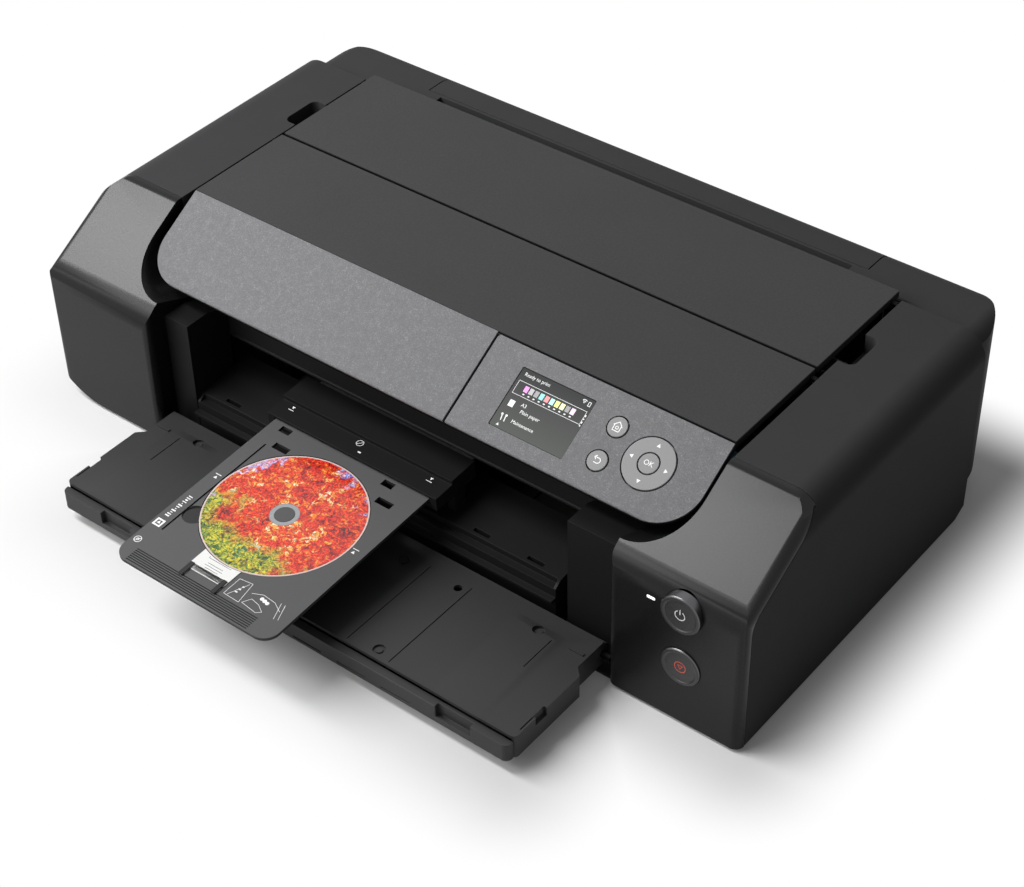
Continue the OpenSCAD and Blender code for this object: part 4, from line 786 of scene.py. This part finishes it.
class Sketch:
    """Flat signs drawn in millimetres, then laid on a face of the printer."""

    def __init__(self, name):
        bpy.ops.object.select_all(action="DESELECT")
        bpy.ops.mesh.primitive_plane_add(size=1)
        self.piece = bpy.context.object
        self.piece.name = name
        self.words = []
        bpy.ops.object.mode_set(mode="EDIT")
        bpy.ops.mesh.select_all(action="SELECT")
        bpy.ops.mesh.delete(type="VERT")

    def bar(self, x, y, wide, high, turn=0.0):
        """A filled oblong."""
        bpy.ops.mesh.primitive_plane_add(size=1, location=(0, 0, 0))
        bpy.ops.transform.resize(value=(wide, high, 1), center_override=(0, 0, 0))
        if turn:
            bpy.ops.transform.rotate(value=-turn, orient_axis="Z", center_override=(0, 0, 0))
        bpy.ops.transform.translate(value=(x, y, 0))

    def line(self, x0, y0, x1, y1, wide):
        """A stroke from point to point."""
        reach = math.hypot(x1 - x0, y1 - y0)
        self.bar((x0 + x1) / 2, (y0 + y1) / 2, reach + wide * 0.6, wide, math.atan2(y1 - y0, x1 - x0))

    def path(self, points, wide):
        """Strokes along points."""
        for (x0, y0), (x1, y1) in zip(points, points[1:]):
            self.line(x0, y0, x1, y1, wide)

    def frame(self, x, y, wide, high, stroke):
        """The outline of an oblong."""
        self.bar(x, y, wide, high)
        bpy.ops.mesh.inset(thickness=stroke)
        bpy.ops.mesh.delete(type="FACE")

    def spot(self, x, y, radius, corners=32, turn=0.0):
        """A filled disc, or a filled triangle with three corners."""
        bpy.ops.mesh.primitive_circle_add(
            vertices=corners, radius=radius, fill_type="NGON", location=(x, y, 0), rotation=(0, 0, turn)
        )

    def ring(self, x, y, radius, stroke, corners=48, turn=0.0):
        """The outline of a circle, or of a triangle with three corners."""
        self.spot(x, y, radius, corners, turn)
        bpy.ops.mesh.inset(thickness=stroke)
        bpy.ops.mesh.delete(type="FACE")

    def arc(self, x, y, radius, stroke, start, end):
        """A part of a circle's outline, from one angle to another."""
        self.ring(x, y, radius, stroke)
        mesh = bmesh.from_edit_mesh(self.piece.data)
        for face in mesh.faces:
            spot = face.calc_center_median() - Vector((x, y, 0))
            turn = (math.atan2(spot.y, spot.x) - start) % (2 * math.pi)
            on_ring = radius - 1.5 * stroke < spot.length < radius + 0.5 * stroke
            face.select_set(on_ring and turn > end - start)
        bmesh.update_edit_mesh(self.piece.data)
        bpy.ops.mesh.delete(type="FACE")

    def word(self, text, x, y, size):
        """A short word in plain letters, centred on a point."""
        self.words.append((text, x, y, size))

    def lay(self, seat, body, finish, height, sink=0.02):
        """Joins the strokes, gives them a thickness and lays them on their face."""
        bpy.ops.object.mode_set(mode="OBJECT")
        parts = [self.piece]
        for text, x, y, size in self.words:
            bpy.ops.object.select_all(action="DESELECT")
            bpy.ops.object.text_add(location=(x, y, 0))
            letters = bpy.context.object
            letters.data.body = text
            letters.data.size = size
            letters.data.align_x = "CENTER"
            letters.data.align_y = "CENTER"
            letters.data.resolution_u = 4
            bpy.ops.object.convert(target="MESH")
            bpy.ops.object.transform_apply()
            parts.append(bpy.context.object)
        if len(parts) > 1:
            pick(*parts[1:], self.piece)
            bpy.ops.object.join()
        piece = self.piece
        apply(piece, "SOLIDIFY", thickness=height / MM + sink, offset=1.0)
        piece.matrix_world = seat @ Matrix.Diagonal((MM, MM, MM, 1)) @ Matrix.Translation((0, 0, -sink))
        pick(piece)
        bpy.ops.object.transform_apply()
        wear(piece, finish)
        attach(piece, body)
        return piece


class PRINTER_OT_paint(bpy.types.Operator):
    """Gives every solid of the printer its finish"""

    bl_idname = "printer.paint"
    bl_label = "Paint the solids"

    def execute(self, context):
        c = context.scene.printer_colours
        made = finishes(c)
        printed("sign_light", c.sign)
        printed("sign_alarm", c.alarm)
        printed("sign_dark", tint("2a2a2b"))
        printed("screen_light", tint("e4e6e5"), 0.9)
        own = {
            "ink_tanks": tank_shells(),
            "stop_button": key_face(c, "key_stop", "stop_button"),
            "panel_board": circuit_board("board_black", tint("0b0d0c"), tint("161a18")),
        }
        for node, piece in NODES.items():
            wear(piece, own.get(node) or made[SLOT_OF[node]])
        return {"FINISHED"}


class PRINTER_OT_covers(bpy.types.Operator):
    """Rounds the edges of the case's covers"""

    bl_idname = "printer.covers"
    bl_label = "Case covers"

    def execute(self, context):
        shape = context.scene.printer_shape
        for node in ("left_front_cover", "right_front_cover"):
            soft_copy(node, 0.0)
        for node in ("left_side_cover", "right_side_cover", "rear_cover", "manual_feed_cover", "base_case"):
            soft_copy(node, shape.cover_edge)
        self.feed_lip()
        return {"FINISHED"}

    def feed_lip(self):
        """The inner lip of the manual feed slot, between the blocks that hold the cover's pins."""
        low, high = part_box("manual_feed_cover")
        thick, tall, overlap = 2.5 * MM, 18 * MM, 0.4 * MM
        inset, rise = 12.7 * MM, 4.3 * MM
        size = Vector((high.x - low.x + overlap, thick, tall))
        place = ((low.x + high.x) / 2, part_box("rear_cover")[1].y - inset, low.z + rise)
        bpy.ops.object.select_all(action="DESELECT")
        bpy.ops.mesh.primitive_cube_add(size=1)
        lip = bpy.context.object
        lip.name = "feed_lip"
        bpy.ops.object.mode_set(mode="EDIT")
        bpy.ops.transform.resize(value=size, center_override=(0, 0, 0))
        bpy.ops.transform.translate(value=place)
        bpy.ops.object.mode_set(mode="OBJECT")
        apply(lip, "BEVEL", width=1.0 * MM, segments=3)
        pick(lip)
        bpy.ops.object.shade_smooth_by_angle(angle=SHARP)
        wear(lip, material("engine_plastic"))
        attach(lip, "case")


class PRINTER_OT_lids(bpy.types.Operator):
    """Rounds the edges of the two lids and their panels"""

    bl_idname = "printer.lids"
    bl_label = "Lids"

    def execute(self, context):
        shape = context.scene.printer_shape
        for node in ("top_cover", "rear_tray_cover"):
            soft_copy(node, shape.cover_edge)
        for node in ("slope_panel", "operation_panel", "screen", "paper_support"):
            soft_copy(node, shape.panel_edge)
        return {"FINISHED"}


class PRINTER_OT_trays(bpy.types.Operator):
    """Rounds the edges of the trays and of the pieces in the mouth"""

    bl_idname = "printer.trays"
    bl_label = "Trays and mouth"

    def execute(self, context):
        shape = context.scene.printer_shape
        for node in ("output_tray", "disc_tray"):
            soft_copy(node, 0.0)
        soft_copy("tray_extension", shape.tray_edge)
        for node in ("disc_tray_guide", "output_guide", "mouth_panels"):
            soft_copy(node, shape.panel_edge)
        soft_copy("disc", 0.0)
        soft_copy("tray_label", 0.15 * MM)
        return {"FINISHED"}


class PRINTER_OT_buttons(bpy.types.Operator):
    """Rounds the buttons, the keys and the lamp"""

    bl_idname = "printer.buttons"
    bl_label = "Buttons"

    def execute(self, context):
        shape = context.scene.printer_shape
        for node in ("home_button", "back_button", "arrow_ring", "ok_button"):
            soft_copy(node, 0.0)
        for node in ("power_button", "stop_button", "status_lamp"):
            soft_copy(node, shape.key_edge)
        return {"FINISHED"}


class PRINTER_OT_key_signs(bpy.types.Operator):
    """Prints the signs of the two front keys"""

    bl_idname = "printer.key_signs"
    bl_label = "Front key signs"

    def execute(self, context):
        height = context.scene.printer_shape.sign_height
        power = Sketch("power_sign")
        power.arc(0, 0, 4.1, 0.65, math.radians(122), math.radians(360 + 58))
        power.bar(0, 2.9, 0.7, 4.4)
        light = material("sign_light")
        power.lay(seat_on("power_button", FRONT_OUT), "power_button", light, height)
        stop = Sketch("stop_sign")
        stop.ring(0, 0, 4.6, 0.6)
        stop.ring(0, 0.3, 2.7, 0.5, 3, math.pi)
        alarm = material("sign_alarm")
        stop.lay(seat_on("stop_button", FRONT_OUT), "stop_button", alarm, height)
        return {"FINISHED"}


class PRINTER_OT_panel_signs(bpy.types.Operator):
    """Prints the signs of the panel's buttons"""

    bl_idname = "printer.panel_signs"
    bl_label = "Panel signs"

    def execute(self, context):
        height = context.scene.printer_shape.sign_height
        light = material("sign_light")
        stroke = 0.6
        home = Sketch("home_sign")
        home.path([(-3.4, 0.6), (0, 3.8), (3.4, 0.6)], stroke)
        home.path([(-2.6, 0.9), (-2.6, -3.2), (2.6, -3.2), (2.6, 0.9)], stroke)
        home.ring(0, -0.7, 1.3, 0.5)
        home.lay(seat_on("home_button", SLOPE_OUT), "home_button", light, height)
        back = Sketch("back_sign")
        back.arc(0.6, 0.0, 2.2, stroke, math.radians(-90), math.radians(90))
        back.line(0.6, 1.9, -2.6, 1.9, stroke)
        back.line(0.6, -1.9, -1.8, -1.9, stroke)
        back.path([(-1.4, 3.3), (-2.9, 1.9), (-1.4, 0.5)], stroke)
        back.lay(seat_on("back_button", SLOPE_OUT), "back_button", light, height)
        arrows = Sketch("arrow_signs")
        reach = 13.6
        for k in range(4):
            turn = k * math.pi / 2
            arrows.spot(reach * math.cos(turn), reach * math.sin(turn), 1.75, 3, turn + 1.5 * math.pi)
        arrows.lay(seat_on("arrow_ring", SLOPE_OUT), "arrow_ring", light, height)
        okay = Sketch("ok_sign")
        okay.word("OK", 0, 0, 5.2)
        okay.lay(seat_on("ok_button", SLOPE_OUT), "ok_button", light, height)
        return {"FINISHED"}


class PRINTER_OT_display(bpy.types.Operator):
    """Draws the picture on the display"""

    bl_idname = "printer.display"
    bl_label = "Display"

    def execute(self, context):
        seat = seat_on("screen", SLOPE_OUT)
        height = context.scene.printer_shape.sign_height
        lines = Sketch("screen_lines")
        lines.frame(0.5, 8.6, 57.6, 10.4, 0.3)
        for words, x, y in (
            ("Ready to print", -16.3, 19.1),
            ("A3", -14.6, -1.6),
            ("Plain paper", -6.6, -6.3),
            ("Maintenance", -7.4, -14.9),
        ):
            lines.word(words, x, y, 3.7)
        columns = [(k - (len(SCREEN_INKS) - 1) / 2) * INK_PITCH for k in range(len(SCREEN_INKS))]
        for x in columns:
            lines.bar(x, 5.5, 1.5, 0.9)
        lines.bar(-24.0, -3.6, 4.2, 5.0)
        lines.line(-25.6, -12.8, -24.6, -17.2, 0.7)
        lines.line(-22.6, -12.8, -21.8, -17.2, 0.7)
        lines.spot(-25.7, -12.9, 0.9, 12)
        lines.spot(-22.2, -12.9, 0.9, 12)
        lines.spot(-24.8, -20.9, 1.3, 3, 0.0)
        for k in range(3):
            lines.arc(23.4, 17.9, 1.0 + 1.1 * k, 0.55, math.radians(50), math.radians(130))
        lines.frame(27.8, 19.0, 2.2, 3.4, 0.45)
        for k in range(4):
            lines.bar(29.9, 10.6 - 2.6 * k, 0.9, 0.9 if k % 2 else 1.5)
        lines.lay(seat, "top_cover", material("screen_light"), height)
        bars = Sketch("screen_ink_bars")
        for x in columns:
            bars.bar(x, 9.5, 3.3, 4.6)
        bars.lay(seat, "top_cover", ink_bars(seat.translation.x), height)
        return {"FINISHED"}


class PRINTER_OT_tray_signs(bpy.types.Operator):
    """Prints the signs of the disc tray, its guide and its card"""

    bl_idname = "printer.tray_signs"
    bl_label = "Disc tray signs"

    def execute(self, context):
        height = context.scene.printer_shape.sign_height
        light = material("sign_light")
        seat = seat_on("disc_tray", TRAY_OUT)
        low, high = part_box("disc")
        centre = (low + high) / 2
        seat.translation = centre + TRAY_OUT * (level_of("disc_tray", TRAY_OUT) - centre.dot(TRAY_OUT))
        signs = Sketch("disc_tray_signs")
        signs.ring(-67.6, -77.4, 3.0, 0.5)
        signs.ring(-67.6, -77.4, 1.2, 0.5)
        signs.line(-69.4, -79.2, -65.8, -75.6, 0.5)
        signs.frame(-67.2, -57.0, 7.2, 7.2, 1.4)
        signs.spot(-67.2, -57.0, 1.9, 3, 0.0)
        for k, high_bar in enumerate((3.6, 3.6, 2.0, 3.6, 1.2, 2.8, 3.6, 0.8, 3.6, 2.2, 3.6, 3.6)):
            signs.bar(-67.4 + 0.08 * k, -48.6 + 2.1 * k, high_bar, 0.8 if k % 3 else 1.2)
        for side in (-66.2, 64.2):
            signs.spot(side, -0.6, 1.7, 3, 0.0)
            signs.bar(side, 2.8, 5.4, 0.6)
        thin = 0.3
        signs.path([(17.4, -80.4), (17.4, -64.2), (28.4, -62.8), (31.4, -80.8), (17.4, -80.4)], thin)
        signs.path([(20.0, -79.6), (26.8, -64.4)], thin)
        for k in range(3):
            signs.bar(23.4 + 0.7 * k, -74.6 + 3.0 * k, 2.6 - 0.5 * k, 1.0)
        hand = [(33.4, -79.6), (37.0, -73.4), (44.6, -74.8), (50.8, -78.6), (47.6, -81.4), (33.4, -79.6)]
        signs.path(hand, thin)
        signs.path([(33.6, -69.4), (41.4, -66.0), (52.4, -67.0), (60.6, -71.4)], thin)
        signs.path([(56.4, -65.0), (61.4, -78.6)], thin)
        signs.path([(59.8, -64.8), (64.6, -77.6)], thin)
        signs.spot(42.8, -69.4, 1.5)
        signs.spot(45.6, -69.9, 1.6)
        signs.spot(48.4, -70.5, 1.5)
        signs.lay(seat, "disc_tray", light, height)
        tray_top = level_of("disc_tray", TRAY_OUT)
        ledge = level_of("disc_tray_guide", TRAY_OUT, tray_top + 2.5 * MM, tray_top + 5 * MM)
        guide = Matrix.Translation(TRAY_OUT * (ledge - tray_top)) @ seat
        marks = Sketch("guide_signs")
        marks.ring(-1.7, 83.4, 3.0, 0.4)
        marks.line(-3.7, 81.4, 0.3, 85.4, 0.4)
        marks.bar(4.1, 75.8, 2.6, 1.3)
        for side in (-67.1, 64.4):
            marks.spot(side, 84.6, 1.6, 3, math.pi)
            marks.bar(side, 81.4, 5.0, 0.55)
        marks.lay(guide, "case", light, height)
        card = Sketch("card_print")
        for k, (y, wide) in enumerate(((5.0, 20.0), (1.0, 14.0), (-1.2, 16.0), (-3.4, 12.0))):
            card.bar(0.0 if k else 1.0, y, wide, 0.35)
        card.bar(-9.6, 5.6, 0.35, 1.5)
        card.bar(0.0, -5.6, 5.0, 0.35)
        card.lay(seat_on("tray_label", TRAY_OUT), "disc_tray", material("sign_dark"), height)
        return {"FINISHED"}


class PRINTER_OT_stage(bpy.types.Operator):
    """Sets the floor, the lamps, the world and the camera"""

    bl_idname = "printer.stage"
    bl_label = "Stage"

    def execute(self, context):
        stage = context.scene.printer_stage
        self.floor(stage)
        self.lamps(stage)
        self.world(context.scene, stage)
        self.camera(context.scene, stage)
        context.scene.view_settings.view_transform = "Standard"
        return {"FINISHED"}

    def seen(self, f):
        """1 for what the camera, a mirror or a glass sees, 0 for light that falls on the printer."""
        kinds = ("Camera", "Glossy", "Transmission")
        rays = [f.node("ShaderNodeLightPath", output=f"Is {kind} Ray") for kind in kinds]
        return (rays[0] + rays[1] + rays[2]).at_most(1.0)

    def clear_of(self, f, spot, low, high):
        """How far a place on the floor lies outside an oblong."""
        across = abs(f.axis(spot, "X") - (low[0] + high[0]) / 2) - (high[0] - low[0]) / 2
        along = abs(f.axis(spot, "Y") - (low[1] + high[1]) / 2) - (high[1] - low[1]) / 2
        return (across.at_least(0.0) ** 2 + along.at_least(0.0) ** 2) ** 0.5

    def floor(self, stage):
        bpy.ops.object.select_all(action="DESELECT")
        bpy.ops.mesh.primitive_circle_add(
            vertices=128, radius=FLOOR_RADIUS, fill_type="NGON", location=(0, 0, CAD_BOX[0][2])
        )
        floor = bpy.context.object
        floor.name = "floor"
        bpy.ops.object.mode_set(mode="EDIT")
        bpy.ops.mesh.select_all(action="SELECT")
        bpy.ops.mesh.extrude_region_move(TRANSFORM_OT_translate={"value": (0, 0, -FLOOR_THICK)})
        bpy.ops.mesh.select_all(action="SELECT")
        bpy.ops.mesh.normals_make_consistent(inside=False)
        bpy.ops.object.mode_set(mode="OBJECT")
        bpy.ops.object.transform_apply()
        f = Finish("floor_pale")
        spot = f.spot()
        dust = f.noise(spot, 40.0, 3.0)
        tone = f.mottle(dust, stage.floor, 0.985, 1.0)
        lit = f.node("ShaderNodeBsdfDiffuse", None, {"Color": tone})
        white = f.node("ShaderNodeEmission", None, {"Color": (1, 1, 1, 1), "Strength": 1.0})
        body = self.clear_of(f, spot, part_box("left_front_cover")[0], CAD_BOX[1])
        tray = self.clear_of(f, spot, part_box("tray_extension")[0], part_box("output_tray")[1])
        # Painted shadow: near the printer the white glow gives way to the grey lit floor, so a grey halo
        # lies round the printer on top of the real shadows the lamps cast
        share = f.node(
            "ShaderNodeMapRange",
            {"interpolation_type": "SMOOTHSTEP"},
            {"Value": body.at_most(tray), "From Max": PAINTED_SHADOW_REACH, "To Min": PAINTED_SHADOW_WHITE},
        )
        f.node_out(f.node("ShaderNodeMixShader", None, {0: self.seen(f) * share, 1: lit, 2: white}))
        wear(floor, f.material)

    def lamps(self, stage):
        middle = Vector((0, 0, 0.1))
        for name, place, size, power in (
            ("softbox", Vector((-0.9, -0.53, 1.5)), (1.4, 0.32), stage.key_power),
            ("front_card", Vector((-0.84, -1.1, 1.26)), (1.4, 0.45), stage.card_power),
            ("low_card", Vector((-0.84, -1.42, 0.87)), (1.4, 0.45), stage.card_power / 2),
            ("top_light", Vector((-0.4, 0.9, 1.5)), (1.4, 1.4), stage.fill_power),
        ):
            bpy.ops.object.light_add(type="AREA")
            lamp = bpy.context.object
            lamp.name = name
            lamp.data.shape = "RECTANGLE"
            lamp.data.size, lamp.data.size_y = size
            lamp.data.energy = power
            away = (place - middle).normalized()
            side = (Vector((1, 0, 0)) - away * away.x).normalized()
            lamp.matrix_world = Matrix.Translation(place) @ turned(side, away.cross(side), away)

    def world(self, scene, stage):
        scene.world = bpy.data.worlds.new("studio")
        f = Finish("studio", scene.world)
        dim = f.node("ShaderNodeBackground", None, {"Color": (1, 1, 1, 1), "Strength": stage.ambient})
        white = f.node("ShaderNodeBackground", None, {"Color": (1, 1, 1, 1), "Strength": 1.0})
        shader = f.node("ShaderNodeMixShader", None, {0: self.seen(f), 1: dim, 2: white})
        f.node_out(shader, "ShaderNodeOutputWorld")

    def camera(self, scene, stage):
        az, el, roll = stage.azimuth, stage.elevation, stage.roll
        back = Vector((math.sin(az) * math.cos(el), -math.cos(az) * math.cos(el), math.sin(el)))
        right = Vector((math.cos(az), math.sin(az), 0))
        up = back.cross(right)
        side = math.cos(roll) * right + math.sin(roll) * up
        head = math.cos(roll) * up - math.sin(roll) * right
        bpy.ops.object.camera_add()
        camera = bpy.context.object
        camera.matrix_world = Matrix.Translation(stage.eye) @ turned(side, head, back)
        camera.data.lens = stage.lens
        camera.data.sensor_width = 36.0
        camera.data.clip_start = 0.05
        scene.camera = camera


OPERATORS = (
    PRINTER_OT_stage,
    PRINTER_OT_paint,
    PRINTER_OT_covers,
    PRINTER_OT_lids,
    PRINTER_OT_trays,
    PRINTER_OT_buttons,
    PRINTER_OT_key_signs,
    PRINTER_OT_panel_signs,
    PRINTER_OT_display,
    PRINTER_OT_tray_signs,
)


class PRINTER_PT_sidebar(bpy.types.Panel):
    """Lists the steps that dress the printer"""

    bl_label = "Printer"
    bl_idname = "PRINTER_PT_sidebar"
    bl_space_type = "VIEW_3D"
    bl_region_type = "UI"
    bl_category = "Printer"

    def draw(self, context):
        for operator in OPERATORS:
            self.layout.operator(operator.bl_idname)
        scene = context.scene
        for group in (scene.printer_shape, scene.printer_colours, scene.printer_stage):
            for name in group.__annotations__:
                self.layout.prop(group, name)


CLASSES = (PrinterShape, PrinterColours, PrinterStage, *OPERATORS, PRINTER_PT_sidebar)


def register():
    for item in CLASSES:
        bpy.utils.register_class(item)
    bpy.types.Scene.printer_shape = PointerProperty(type=PrinterShape)
    bpy.types.Scene.printer_colours = PointerProperty(type=PrinterColours)
    bpy.types.Scene.printer_stage = PointerProperty(type=PrinterStage)


def unregister():
    for name in ("printer_shape", "printer_colours", "printer_stage"):
        delattr(bpy.types.Scene, name)
    for item in reversed(CLASSES):
        bpy.utils.unregister_class(item)


def main():
    register()
    bpy.ops.printer.stage()
    bpy.ops.printer.paint()
    bpy.ops.printer.covers()
    bpy.ops.printer.lids()
    bpy.ops.printer.trays()
    bpy.ops.printer.buttons()
    bpy.ops.printer.key_signs()
    bpy.ops.printer.panel_signs()
    bpy.ops.printer.display()
    bpy.ops.printer.tray_signs()


if __name__ == "__main__":
    main()
